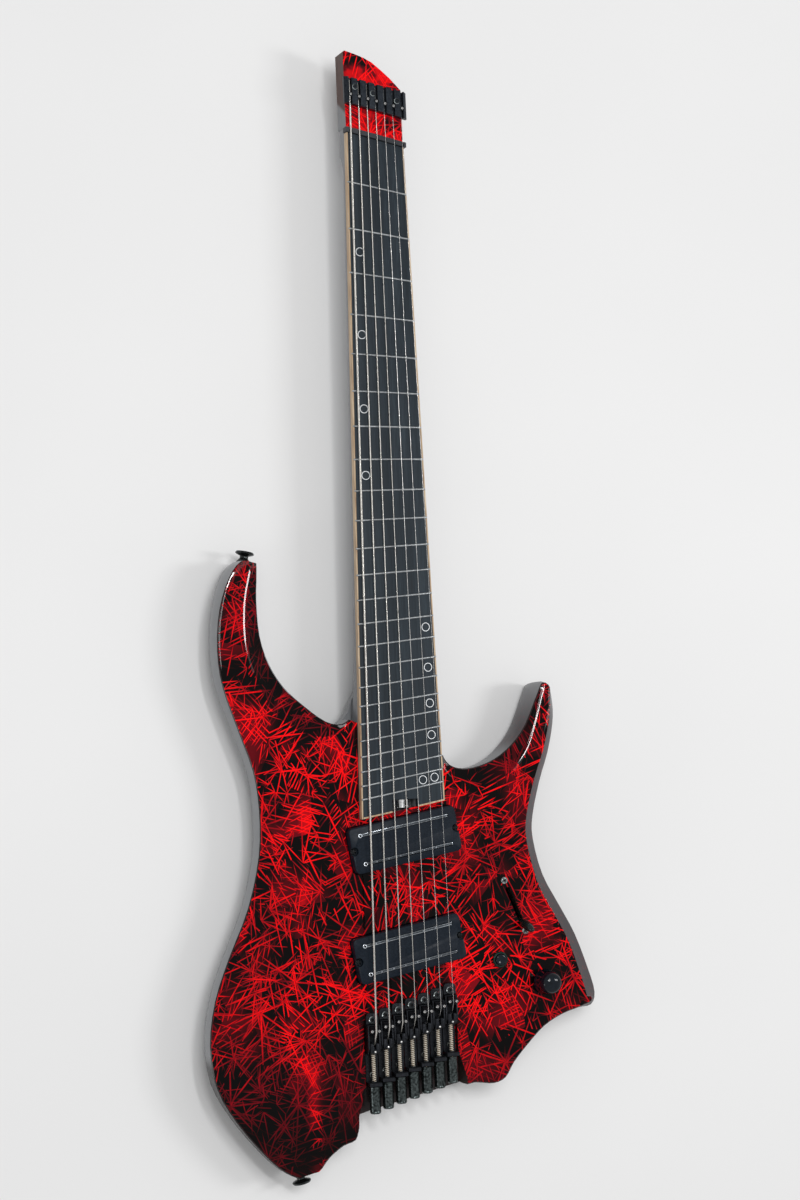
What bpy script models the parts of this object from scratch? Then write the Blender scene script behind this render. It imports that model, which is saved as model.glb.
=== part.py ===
"""Seven string headless electric guitar with fanned frets, lying on its flat back.

X runs across the body with the treble side at +X, Y runs along the strings towards the
headpiece, and Z points out of the front. The origin is on the flat back between the pickups.
"""

import math

import bmesh
import bpy
from mathutils import Matrix, Vector

MM = 0.001

# Strings and scale
STRING_COUNT = 7
SCALE_BASS = 673.1 * MM
SCALE_TREBLE = 647.7 * MM
PERPENDICULAR_FRET = 8.3
FRET_COUNT = 24
NUT_SPREAD = 42.0 * MM
NUT_STRING_SHIFT = 1.0 * MM
BRIDGE_SPREAD = 63.0 * MM
BRIDGE_Y = -84.0 * MM
COMPENSATION_BASS = 5.6 * MM
COMPENSATION_TREBLE = 4.0 * MM
STRING_DIAMETERS = [1.57, 1.17, 0.91, 0.66, 0.43, 0.33, 0.25]
ACTION_NUT = 0.4 * MM
ACTION_BRIDGE = 3.4 * MM
GAP = 0.3 * MM
CUT_REACH = 10.0 * MM

# Body
OUTLINE_UNIT = 1.0 * MM
BODY_THICKNESS = 41.0 * MM
RIM_HEIGHT = 30.0 * MM
EDGE_ROUND = 1.0 * MM
TOP_WALL = 6.0 * MM
OUTLINE_STEPS = 3

# Neck and board
BOARD_LIFT = 1.0 * MM
BOARD_THICKNESS = 6.0 * MM
BOARD_RADIUS = 400.0 * MM
BOARD_WIDTH_NUT = 45.8 * MM
BOARD_WIDTH_LAST = 66.6 * MM
BOARD_TAIL = 14.5 * MM
FRET_WIDTH = 2.4 * MM
FRET_HEIGHT = 1.0 * MM
NUT_DEPTH = 4.0 * MM
NUT_OVERHANG = 0.7 * MM
NUT_TREBLE_OVERHANG = 1.6 * MM
NUT_COVER = 1.0 * MM
NECK_DEPTH_NUT = 14.0 * MM
NECK_DEPTH_BODY = 16.0 * MM
HEEL_DEPTH = 16.7 * MM
HEEL_START_Y = 158.0 * MM
HEEL_BLEND = 24.0 * MM
VOLUTE_START = 26.0 * MM
VOLUTE_END = 10.0 * MM

# Headpiece and string lock
HEAD_LENGTH = 63.0 * MM
HEAD_THICKNESS = 18.0 * MM
HEAD_FACE_DROP = 1.5 * MM
HEAD_CORNER_DROP = 29.0 * MM
HEAD_WAIST = 0.55
LOCK_DISTANCE = 22.0 * MM
LOCK_LENGTH = 20.3 * MM
LOCK_BASS_SIDE = 24.0 * MM
LOCK_TREBLE_SIDE = 25.7 * MM
LOCK_CHAMFER = 2.4 * MM
LOCK_HEIGHT = 5.2 * MM
LOCK_FLOOR = 1.6 * MM
CLAMP_DISTANCE = 7.2 * MM
CLAMP_RADIUS = 1.6 * MM
STRING_TAIL = 2.0 * MM

# Bridge units, measured along the string from its saddle towards the tail
UNIT_WIDTH = 9.9 * MM
UNIT_INNER = 7.5 * MM
UNIT_FLOOR = 2.2 * MM
UNIT_HEIGHT = 10.7 * MM
UNIT_DROP = 5.0 * MM
TONGUE_START = -14.0 * MM
TONGUE_THICKNESS = 2.7 * MM
TONGUE_CORNER = 3.2 * MM
BLOCK_START = -3.7 * MM
BLOCK_END = 17.0 * MM
BEARING_START = 38.0 * MM
BEARING_END = 41.0 * MM
SADDLE_FRONT = -4.0 * MM
SADDLE_BACK = 3.0 * MM
CARRIAGE_START = 8.5 * MM
CARRIAGE_LENGTH = 8.5 * MM
CARRIAGE_TRAVEL = 2.5 * MM
CARRIAGE_RISE = 5.0 * MM
ANCHOR_RISE = 3.2 * MM
ROD_RADIUS = 1.45 * MM
ROD_HEIGHT = 6.2 * MM
ROD_END = 49.0 * MM
KNOB_RADIUS = 4.2 * MM
KNOB_LENGTH = 20.2 * MM
KNOB_BORE_DEPTH = 14.0 * MM
KNOB_FLUTES = 10
RUNNING = 0.35 * MM

# Tail recess
RECESS_SIDE = 1.2 * MM
RECESS_FLOOR = 24.0 * MM
RECESS_FLARE = 6.5 * MM
RECESS_REACH = 12.0 * MM

# Pickups
PICKUP_LENGTH = 87.0 * MM
PICKUP_WIDTH = 35.0 * MM
PICKUP_HEIGHT = 17.0 * MM
PICKUP_PROUD = 7.0 * MM
PICKUP_CORNER = 4.0 * MM
PICKUP_CLEARANCE = 0.6 * MM
NECK_PICKUP_GAP = 5.0 * MM
PICKUP_SPACING = 82.0 * MM
NECK_PICKUP_TURN = 9.3
BRIDGE_PICKUP_TURN = 10.0
BLADE_LENGTH = 72.0 * MM
BLADE_WIDTH = 2.0 * MM
BLADE_HEIGHT = 1.0 * MM
BLADE_OFFSET = 10.8 * MM
PICKUP_NOTCH = 3.4 * MM
PICKUP_NOTCH_INSET = 1.6 * MM

# Controls
VOLUME_AT = (111.0 * MM, -71.5 * MM)
VOLUME_RADIUS = 9.7 * MM
VOLUME_TOP_RADIUS = 6.6 * MM
VOLUME_HEIGHT = 18.5 * MM
SHAFT_RADIUS = 3.0 * MM
SHAFT_HEIGHT = 15.0 * MM
BUSH_RADIUS = 3.7 * MM
POT_RADIUS = 8.5 * MM
POT_HEIGHT = 11.0 * MM
BUTTON_AT = (74.8 * MM, -52.0 * MM)
BUTTON_RADIUS = 4.3 * MM
BUTTON_PROUD = 3.5 * MM
BUTTON_LENGTH = 12.0 * MM
BUTTON_TRAVEL = 1.5 * MM
BEZEL_RADIUS = 6.2 * MM
BEZEL_HEIGHT = 1.8 * MM
HOUSING_RADIUS = 5.2 * MM
HOUSING_LENGTH = 15.0 * MM
SWITCH_AT = (89.2 * MM, -11.8 * MM)
SWITCH_TURN = -68.2
SWITCH_SWING = 25.0
SLOT_LENGTH = 31.0 * MM
SLOT_WIDTH = 4.0 * MM
SWITCH_LENGTH = 48.0 * MM
SWITCH_WIDTH = 14.0 * MM
SWITCH_PLATE = 1.5 * MM
SWITCH_DEPTH = 27.0 * MM
LEVER_CLEAR = 1.3 * MM
LEVER_THICKNESS = 2.0 * MM
LEVER_WIDTH = 3.0 * MM
LEVER_TIP_LENGTH = 17.0 * MM
LEVER_TIP_RADIUS = 3.6 * MM
PIVOT_RISE = 6.0 * MM
CAVITY_MARGIN = 3.0 * MM
COVER_LEDGE = 4.0 * MM
COVER_THICKNESS = 1.7 * MM

# Small hardware
JACK_X = 108.0 * MM
JACK_FACE_Y = -96.0 * MM
JACK_UNDER_POT = 1.5 * MM
JACK_RADIUS = 6.0 * MM
JACK_FLANGE = 9.0 * MM
JACK_FLANGE_THICKNESS = 2.0 * MM
JACK_LENGTH = 20.0 * MM
JACK_BORE = 3.3 * MM
STRAP_BASE_RADIUS = 5.5 * MM
STRAP_DISC_RADIUS = 7.3 * MM
STRAP_LENGTH = 9.0 * MM
STRAP_HEIGHT = 21.0 * MM
STRAP_UPPER_AT = (-110.8 * MM, 257.0 * MM)
STRAP_UPPER_TURN = -12.0
STRAP_LOWER_AT = (-86.5 * MM, -199.5 * MM)
STRAP_LOWER_TURN = 192.0
TRUSS_X = 1.0 * MM
WHEEL_RADIUS = 7.0 * MM
WHEEL_LENGTH = 6.0 * MM
WHEEL_SHAFT = 2.0 * MM
WHEEL_SHAFT_LENGTH = 12.0 * MM
WHEEL_SIDE = 3.4 * MM
NOTCH_DEPTH = 8.0 * MM

BODY_TOP = BODY_THICKNESS
BOARD_UNDER = BODY_TOP + BOARD_LIFT
BOARD_TOP = BOARD_UNDER + BOARD_THICKNESS
POCKET_FLOOR = BOARD_UNDER - HEEL_DEPTH - GAP
CAVITY_ROOF = BODY_TOP - TOP_WALL
UNIT_BASE = BODY_TOP - UNIT_DROP + GAP
ROD_Z = UNIT_BASE + ROD_HEIGHT
JACK_Z = CAVITY_ROOF - GAP - POT_HEIGHT - JACK_UNDER_POT - JACK_RADIUS
HEAD_FACE = BOARD_TOP - HEAD_FACE_DROP
LOCK_BASE = HEAD_FACE + GAP

# Half the board's width beside the heel, in the rim's own unit.
HEEL_SIDE = BOARD_WIDTH_LAST / 2 / OUTLINE_UNIT

# The rim seen from the front, in millimetres, round from the upper horn: x, y, how far the
# front edge sits inside the rim, how far the crest sits inside that edge, how far the edge
# lies below the crest, and how far the flat back stops inside the rim.
RIM = [
    (-118.5, 258, 1.5, 1.5, 0.5, 4), (-129, 246, 2, 2, 0, 7), (-137.5, 222, 2, 2, 0, 12),
    (-140.5, 192, 2, 2, 0, 17), (-137.5, 164, 2, 2, 0, 20), (-127, 133, 1.5, 2, 0, 20),
    (-116, 101, 1.2, 2, 0, 18), (-112.3, 72, 1, 2, 0, 17), (-114, 38, 1, 2, 0, 18),
    (-124, 0, 1, 2, 0, 21), (-140, -35, 1, 2, 0, 22), (-152, -66, 1, 2, 0, 22),
    (-157.2, -98, 1, 2, 0, 22), (-153.3, -129.5, 1, 2, 0, 22), (-138.7, -156.8, 1, 2, 0, 20),
    (-118, -182.6, 1, 2, 0, 15), (-103.4, -196, 1, 2, 0, 10), (-89, -202.5, 1, 1.5, 0, 7),
    (-77, -198, 1, 1.5, 0, 7), (-68, -188.5, 1, 2, 0, 8), (-57, -181, 1, 2, 0, 8),
    (-47, -177.5, 1, 1.5, 0, 6), (-43.5, -168, 1, 1.5, 0, 6), (-38, -161.5, 1, 1.5, 0, 6),
    (0, -153.5, 1, 1.5, 0, 7), (44, -144.5, 1, 1.5, 0, 7), (54, -144, 1, 1.5, 0, 7),
    (66, -145.5, 1, 2, 0, 6), (76, -142, 1.2, 2, 0, 7), (84, -131, 1.5, 2, 0, 9),
    (96, -118.5, 1.5, 2, 0, 9), (110, -106, 1.5, 2, 0, 9), (126, -98.5, 2, 2, 0, 9),
    (142, -95, 3, 2, 0, 9), (154, -93.5, 7, 2, 0, 8), (157.6, -84, 11.5, 2, 0, 10),
    (153, -66, 11.5, 2, 0, 14), (143, -38, 11, 2, 0, 15), (131, -15, 10.5, 2, 0, 15),
    (118, 10, 10, 2, 0, 14), (111.3, 38, 9.8, 2, 0, 13), (112, 56, 9.6, 2, 0, 13),
    (119, 82, 9, 2, 0, 12), (127, 104, 8.5, 2, 0, 11), (132.3, 126, 8, 2, 0, 9),
    (133, 142, 7, 1.5, 0, 7), (130, 156, 4, 1.5, 0, 5), (121.5, 159, 1.5, 1.5, 0.5, 4),
    (116.5, 150, 1, 2.5, 1, 4), (106, 126.5, 1, 5, 3, 4), (95, 112, 1, 10, 5, 4),
    (80, 101, 1, 14, 6, 5), (62, 95.5, 1, 15, 5, 6), (HEEL_SIDE + 14.7, 96, 1, 8, 2, 8),
    (HEEL_SIDE + 5.7, 101, 1, 3, 0.5, 8), (HEEL_SIDE + 1.2, 112, 1, 2, 0, 8),
    (HEEL_SIDE - 1.3, 130, 1, 2, 0, 9), (HEEL_SIDE - 7.3, 148, 1, 2, 0, 11),
    (14, 161, 1, 2, 0, 12), (-4, 167, 1, 2, 0, 12), (-HEEL_SIDE + 11.3, 163, 1, 2, 0, 11),
    (-HEEL_SIDE + 2.3, 151, 1, 2, 0, 9), (-HEEL_SIDE - 1.7, 141, 1, 2, 0, 8),
    (-HEEL_SIDE - 10.7, 133.5, 1, 5, 0.6, 7), (-56, 136, 1, 13, 3.5, 6), (-72, 149, 1.2, 20, 6.5, 5),
    (-86, 163, 1.5, 18, 7, 5), (-97, 181, 1.5, 14, 7, 6), (-103.5, 202, 1.5, 12, 6, 6),
    (-105.5, 228, 1.5, 9, 4, 6), (-105, 248, 1.5, 5, 2, 5), (-106.5, 258.5, 1.5, 2, 0.8, 4),
]

# Where the body stops under the neck, in millimetres.
HEEL_CLEARANCE = [
    (-HEEL_SIDE - 26.7, 146), (-HEEL_SIDE - 4.7, 136), (HEEL_SIDE + 4.7, 105), (HEEL_SIDE + 18.7, 112),
    (HEEL_SIDE + 18.7, 200), (-HEEL_SIDE - 26.7, 200),
]

MATERIALS = {
    "front_lacquer": ((0.55, 0.03, 0.05), 0.18, 0.0),
    "neck_lacquer": ((0.56, 0.58, 0.6), 0.35, 0.0),
    "ebony": ((0.035, 0.04, 0.055), 0.45, 0.0),
    "string_steel": ((0.75, 0.75, 0.76), 0.28, 1.0),
    "black_metal": ((0.015, 0.015, 0.017), 0.35, 1.0),
    "rod_steel": ((0.8, 0.77, 0.68), 0.25, 1.0),
    "black_polymer": ((0.02, 0.022, 0.028), 0.4, 0.0),
    "gloss_black": ((0.01, 0.01, 0.01), 0.12, 0.0),
    "dark_bone": ((0.05, 0.05, 0.055), 0.4, 0.0),
    "plated_steel": ((0.7, 0.7, 0.71), 0.2, 1.0),
    "cover_polymer": ((0.03, 0.03, 0.03), 0.5, 0.0),
}


def clear_scene():
    for item in list(bpy.data.objects):
        bpy.data.objects.remove(item, do_unlink=True)


def material(name):
    found = bpy.data.materials.get(name)
    if found:
        return found
    color, roughness, metallic = MATERIALS[name]
    made = bpy.data.materials.new(name)
    made.use_nodes = True
    shader = made.node_tree.nodes["Principled BSDF"]
    shader.inputs["Base Color"].default_value = (*color, 1.0)
    shader.inputs["Roughness"].default_value = roughness
    shader.inputs["Metallic"].default_value = metallic
    return made


def finish(name, mesh_data, material_name, place=None, smooth_degrees=None):
    bmesh.ops.remove_doubles(mesh_data, verts=mesh_data.verts, dist=1e-7)
    bmesh.ops.recalc_face_normals(mesh_data, faces=mesh_data.faces)
    mesh = bpy.data.meshes.new(name)
    mesh_data.to_mesh(mesh)
    mesh_data.free()
    if material_name:
        mesh.materials.append(material(material_name))
    if smooth_degrees:
        mesh.shade_smooth()
        mesh.set_sharp_from_angle(angle=math.radians(smooth_degrees))
    made = bpy.data.objects.new(name, mesh)
    bpy.context.collection.objects.link(made)
    if place:
        made.matrix_world = place
    return made


def as_cutter(item):
    item.hide_render = True
    item.display_type = "WIRE"
    return item


def combine(target, other, operation="DIFFERENCE"):
    modifier = target.modifiers.new(f"{operation.title()} {other.name}", "BOOLEAN")
    modifier.operation = operation
    modifier.solver = "EXACT"
    modifier.object = as_cutter(other)


# Basic shapes


def loft(rings):
    built = bmesh.new()
    loops = []
    for ring in rings:
        loops.append([built.verts.new(point) for point in ring])
    count = len(loops[0])
    for low, high in zip(loops, loops[1:]):
        for index in range(count):
            after = (index + 1) % count
            built.faces.new((low[index], low[after], high[after], high[index]))
    built.faces.new(reversed(loops[0]))
    built.faces.new(loops[-1])
    return built


def prism(outline, low, high):
    built = bmesh.new()
    base = built.faces.new([built.verts.new((x, y, low)) for x, y in outline])
    grown = bmesh.ops.extrude_face_region(built, geom=[base])
    lifted = [item for item in grown["geom"] if isinstance(item, bmesh.types.BMVert)]
    bmesh.ops.translate(built, verts=lifted, vec=(0, 0, high - low))
    return built


def rectangle(low_x, low_y, high_x, high_y):
    return [(low_x, low_y), (high_x, low_y), (high_x, high_y), (low_x, high_y)]


def box(low, high):
    return prism(rectangle(low[0], low[1], high[0], high[1]), low[2], high[2])


def turned(profile, segments):
    built = bmesh.new()
    line = [built.verts.new((radius, 0, height)) for radius, height in profile]
    edges = [built.edges.new(pair) for pair in zip(line, line[1:])]
    bmesh.ops.spin(
        built, geom=line + edges, cent=(0, 0, 0), axis=(0, 0, 1), angle=2 * math.pi, steps=segments
    )
    bmesh.ops.remove_doubles(built, verts=built.verts, dist=1e-6)
    return built


def rounded_rectangle(length, width, corner, steps=4):
    points = []
    centres = [(1, 1, 0), (-1, 1, 90), (-1, -1, 180), (1, -1, 270)]
    for side_x, side_y, start in centres:
        for step in range(steps + 1):
            angle = math.radians(start + 90 * step / steps)
            points.append((
                side_x * (length / 2 - corner) + corner * math.cos(angle),
                side_y * (width / 2 - corner) + corner * math.sin(angle),
            ))
    return points


def convex_outline(points):
    ordered = sorted(set(points))
    halves = []
    for run in (ordered, ordered[::-1]):
        chain = []
        for point in run:
            while len(chain) > 1 and turn(chain[-2], chain[-1], point) <= 0:
                chain.pop()
            chain.append(point)
        halves.append(chain[:-1])
    return halves[0] + halves[1]


def turn(first, second, third):
    return (second[0] - first[0]) * (third[1] - first[1]) - (second[1] - first[1]) * (third[0] - first[0])


def bevel_sharp(built, width, segments=2, least_degrees=40, height=None):
    edges = []
    for edge in built.edges:
        if len(edge.link_faces) != 2 or edge.calc_face_angle(0) < math.radians(least_degrees):
            continue
        if height is not None and min(vert.co.z for vert in edge.verts) < height:
            continue
        edges.append(edge)
    bmesh.ops.bevel(built, geom=edges, offset=width, segments=segments, profile=0.5, affect="EDGES")


def turned_about_y(y_sign=1):
    return Matrix.Rotation(math.radians(-90 * y_sign), 4, "X")


# Where the strings and frets run


def scale_share(x):
    return 0.5 + x / BRIDGE_SPREAD


def bridge_y(x):
    fan = (SCALE_BASS - SCALE_TREBLE) * 2 ** (-PERPENDICULAR_FRET / 12)
    return BRIDGE_Y + fan * (scale_share(x) - 0.5)


def fret_end(fret, side):
    scale = SCALE_BASS if side < 0 else SCALE_TREBLE
    share = 2 ** (-fret / 12)
    x = side * (BRIDGE_SPREAD + (NUT_SPREAD - BRIDGE_SPREAD) * share) / 2
    return x, bridge_y(side * BRIDGE_SPREAD / 2) + scale * share


def fret_y(fret, x):
    x_bass, y_bass = fret_end(fret, -1)
    x_treble, y_treble = fret_end(fret, 1)
    return y_bass + (y_treble - y_bass) * (x - x_bass) / (x_treble - x_bass)


def board_half(y):
    y_nut = fret_y(0, 0)
    y_last = fret_y(FRET_COUNT, 0)
    share = (y_nut - y) / (y_nut - y_last)
    return (BOARD_WIDTH_NUT + (BOARD_WIDTH_LAST - BOARD_WIDTH_NUT) * share) / 2


def board_end_y(x):
    return fret_y(FRET_COUNT, x) - BOARD_TAIL


def nut_y(x):
    return fret_y(0, x)


def edge_point(line, side, extra=0.0):
    y = line(0)
    for _ in range(8):
        x = side * (board_half(y) + extra)
        y = line(x)
    return x, y


def camber(x):
    return math.sqrt(BOARD_RADIUS ** 2 - x ** 2) - BOARD_RADIUS


def string_share(index):
    return index / (STRING_COUNT - 1) - 0.5


def string_radius(index):
    return STRING_DIAMETERS[index] / 2 * MM


def saddle_point(index):
    x = string_share(index) * BRIDGE_SPREAD
    compensation = COMPENSATION_BASS + (COMPENSATION_TREBLE - COMPENSATION_BASS) * scale_share(x)
    return x, bridge_y(x) - compensation


def nut_point(index):
    x = string_share(index) * NUT_SPREAD + NUT_STRING_SHIFT
    return x, nut_y(x) + NUT_DEPTH / 2


def string_x(index, y):
    x_low, y_low = saddle_point(index)
    x_high, y_high = nut_point(index)
    return x_low + (x_high - x_low) * (y - y_low) / (y_high - y_low)


def saddle_top(index):
    return BOARD_TOP + FRET_HEIGHT + ACTION_BRIDGE + camber(saddle_point(index)[0])


def nut_floor(index):
    return BOARD_TOP + FRET_HEIGHT + ACTION_NUT + camber(nut_point(index)[0])


# Body


def sample_rim():
    count = len(RIM)
    samples = []
    for index in range(count):
        before, start, end, after = (RIM[(index + shift) % count] for shift in (-1, 0, 1, 2))
        for step in range(OUTLINE_STEPS):
            t = step / OUTLINE_STEPS
            sample = []
            for a, b, c, d in zip(before, start, end, after):
                tangent_start = (c - a) / 2
                tangent_end = (d - b) / 2
                value = (2 * t ** 3 - 3 * t ** 2 + 1) * b + (t ** 3 - 2 * t ** 2 + t) * tangent_start
                value += (3 * t ** 2 - 2 * t ** 3) * c + (t ** 3 - t ** 2) * tangent_end
                sample.append(value * OUTLINE_UNIT)
            samples.append(sample)
    return samples


def rim_normals(samples):
    normals = []
    for index, sample in enumerate(samples):
        before = samples[index - 1]
        after = samples[(index + 1) % len(samples)]
        along = Vector((after[0] - before[0], after[1] - before[1])).normalized()
        normals.append(Vector((-along.y, along.x)))
    return normals


def body_rings():
    samples = sample_rim()
    inward = rim_normals(samples)

    def ring(inset, height):
        points = []
        for sample, normal in zip(samples, inward):
            move = inset(*sample[2:])
            points.append((sample[0] + normal.x * move, sample[1] + normal.y * move, height(*sample[2:])))
        return points

    rings = []
    for step in range(4):
        angle = math.radians(90 - 22.5 * step)
        rings.append(ring(
            lambda front, crest, drop, back, a=angle: back * (1 - math.cos(a)),
            lambda front, crest, drop, back, a=angle: RIM_HEIGHT * (1 - math.sin(a)),
        ))
    rings.append(ring(lambda f, c, d, b: 0, lambda f, c, d, b: RIM_HEIGHT))
    rings.append(ring(
        lambda f, c, d, b: f - EDGE_ROUND * 0.8,
        lambda f, c, d, b: BODY_TOP - d - EDGE_ROUND,
    ))
    rings.append(ring(lambda f, c, d, b: f, lambda f, c, d, b: BODY_TOP - d - EDGE_ROUND * 0.2))
    rings.append(ring(
        lambda f, c, d, b: f + c * 0.5,
        lambda f, c, d, b: BODY_TOP - d * 0.68 - EDGE_ROUND * 0.05,
    ))
    rings.append(ring(lambda f, c, d, b: f + c, lambda f, c, d, b: BODY_TOP))
    return rings


def pocket_cutter():
    tail = [edge_point(lambda x: board_end_y(x) - GAP, side, GAP) for side in (-1, 1)]
    far_y = HEEL_START_Y + HEEL_BLEND * 2
    top = [(side * (board_half(far_y) + GAP), far_y) for side in (1, -1)]
    return finish("pocket_cutter", prism(tail + top, POCKET_FLOOR, BOARD_TOP), None)


def heel_clearance_cutter():
    outline = [(x * OUTLINE_UNIT, y * OUTLINE_UNIT) for x, y in HEEL_CLEARANCE]
    return finish("heel_clearance_cutter", prism(outline, POCKET_FLOOR, BOARD_TOP), None)


def unit_y(index, distance):
    return saddle_point(index)[1] - distance


def across_units(distance, x):
    y_bass = unit_y(0, distance)
    y_treble = unit_y(STRING_COUNT - 1, distance)
    return y_bass + (y_treble - y_bass) * scale_share(x)


def stagger():
    return abs(across_units(0, UNIT_WIDTH / 2) - across_units(0, -UNIT_WIDTH / 2)) / 2


def recess_half():
    return BRIDGE_SPREAD / 2 + UNIT_WIDTH / 2 + RECESS_SIDE


def bridge_pocket_cutter():
    half = recess_half()
    front = BLOCK_START - GAP - stagger()
    rear = BEARING_END
    outline = [
        (-half, across_units(rear, -half)), (half, across_units(rear, half)),
        (half, across_units(front, half)), (-half, across_units(front, -half)),
    ]
    return finish("bridge_pocket_cutter", prism(outline, BODY_TOP - UNIT_DROP, BODY_TOP + CUT_REACH), None)


def tail_recess_cutter():
    half = recess_half()
    front = BEARING_END - stagger() - 2 * GAP
    knob_end = BEARING_END + KNOB_LENGTH
    wide = half + RECESS_FLARE
    outer = knob_end + RECESS_REACH
    outline = [
        (-half, across_units(front, -half)), (-wide, across_units(knob_end, -half)),
        (-wide, across_units(outer, -half)), (wide, across_units(outer, half)),
        (wide, across_units(knob_end, half)), (half, across_units(front, half)),
    ]
    return finish("tail_recess_cutter", prism(outline, RECESS_FLOOR, BODY_TOP + CUT_REACH), None)


def pickup_place(name):
    if name == "neck":
        y = board_end_y(0) - NECK_PICKUP_GAP - PICKUP_WIDTH / 2
        degrees = NECK_PICKUP_TURN
    else:
        y = pickup_place("neck").translation.y - PICKUP_SPACING
        degrees = BRIDGE_PICKUP_TURN
    return Matrix.Translation((0, y, 0)) @ Matrix.Rotation(math.radians(degrees), 4, "Z")


def pickup_cutter(name):
    outline = rounded_rectangle(
        PICKUP_LENGTH + 2 * PICKUP_CLEARANCE, PICKUP_WIDTH + 2 * PICKUP_CLEARANCE, PICKUP_CORNER
    )
    floor = BODY_TOP + PICKUP_PROUD - PICKUP_HEIGHT - GAP
    pocket = prism(outline, floor, BODY_TOP + CUT_REACH)
    return finish(f"{name}_pickup_cutter", pocket, None, pickup_place(name))


def switch_place():
    turned_by = Matrix.Rotation(math.radians(SWITCH_TURN), 4, "Z")
    return Matrix.Translation((*SWITCH_AT, CAVITY_ROOF)) @ turned_by


def cavity_outline(margin):
    points = []
    circles = []
    for x, y in rectangle(-SWITCH_LENGTH / 2, -SWITCH_WIDTH / 2, SWITCH_LENGTH / 2, SWITCH_WIDTH / 2):
        corner = switch_place() @ Vector((x, y, 0))
        circles.append((corner.x, corner.y, 0))
    circles += [(*VOLUME_AT, POT_RADIUS), (*BUTTON_AT, HOUSING_RADIUS)]
    for x, y, radius in circles:
        for step in range(16):
            angle = math.tau * step / 16
            reach = radius + CAVITY_MARGIN + margin
            points.append((x + reach * math.cos(angle), y + reach * math.sin(angle)))
    return convex_outline(points)


def drill(name, at, radius, low, high, segments=24):
    profile = [(0, low), (radius, low), (radius, high), (0, high)]
    return finish(name, turned(profile, segments), None, Matrix.Translation((*at, 0)))


def body_cutters():
    depth = BODY_TOP + CUT_REACH
    cutters = [pocket_cutter(), heel_clearance_cutter(), pickup_cutter("neck"), pickup_cutter("bridge")]
    cutters += [bridge_pocket_cutter(), tail_recess_cutter()]
    rebate = COVER_THICKNESS + GAP * 2
    cutters.append(finish("cavity_cutter", prism(cavity_outline(0), -CUT_REACH, CAVITY_ROOF), None))
    cutters.append(finish("cover_cutter", prism(cavity_outline(COVER_LEDGE), -CUT_REACH, rebate), None))
    slot = prism(rounded_rectangle(SLOT_LENGTH, SLOT_WIDTH, SLOT_WIDTH * 0.49), -CUT_REACH, 2 * CUT_REACH)
    cutters.append(finish("slot_cutter", slot, None, switch_place()))
    cutters.append(drill("pot_drill", VOLUME_AT, BUSH_RADIUS + GAP, CAVITY_ROOF - MM, depth))
    cutters.append(drill("button_drill", BUTTON_AT, HOUSING_RADIUS + GAP, CAVITY_ROOF - MM, depth))
    cutters.append(jack_cutter())
    cutters.append(strap_seat("strap_upper_seat", STRAP_UPPER_AT, STRAP_UPPER_TURN))
    cutters.append(strap_seat("strap_lower_seat", STRAP_LOWER_AT, STRAP_LOWER_TURN))
    return cutters


def make_body():
    body = finish("body", loft(body_rings()), "front_lacquer", smooth_degrees=30)
    for cutter in body_cutters():
        combine(body, cutter)


# Neck, board and nut


def neck_section(y, half, depth, squareness):
    points = []
    shoulder = 2.5 * MM
    steps = 14
    for step in range(steps + 1):
        angle = math.pi * step / steps
        x = half * math.copysign(abs(math.cos(angle)) ** (2 / squareness), math.cos(angle))
        z = BOARD_UNDER - GAP - shoulder - (depth - shoulder) * math.sin(angle) ** (2 / squareness)
        points.append((x, y, z))
    points.append((-half, y, BOARD_UNDER - GAP))
    points.append((half, y, BOARD_UNDER - GAP))
    return points


def head_outline():
    left, base_left = edge_point(lambda x: nut_y(x) + NUT_DEPTH + 2 * GAP, -1)
    right, base_right = edge_point(lambda x: nut_y(x) + NUT_DEPTH + 2 * GAP, 1)
    width = right - left
    top = nut_y(left) + HEAD_LENGTH
    curve = [
        (1, 1), (0.94, 0.9), (0.82, 0.7), (0.66, 0.48), (0.5, 0.28), (0.36, 0.17), (0.22, 0.09), (0.03, 0),
        (0, 0.03),
    ]
    outline = [(left, base_left), (right, base_right)]
    for across, drop in curve:
        outline.append((left + width * across, top - HEAD_CORNER_DROP * drop))
    return outline


def volute_y(share):
    return nut_y(0) - VOLUTE_START + (VOLUTE_START - VOLUTE_END) * share


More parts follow.
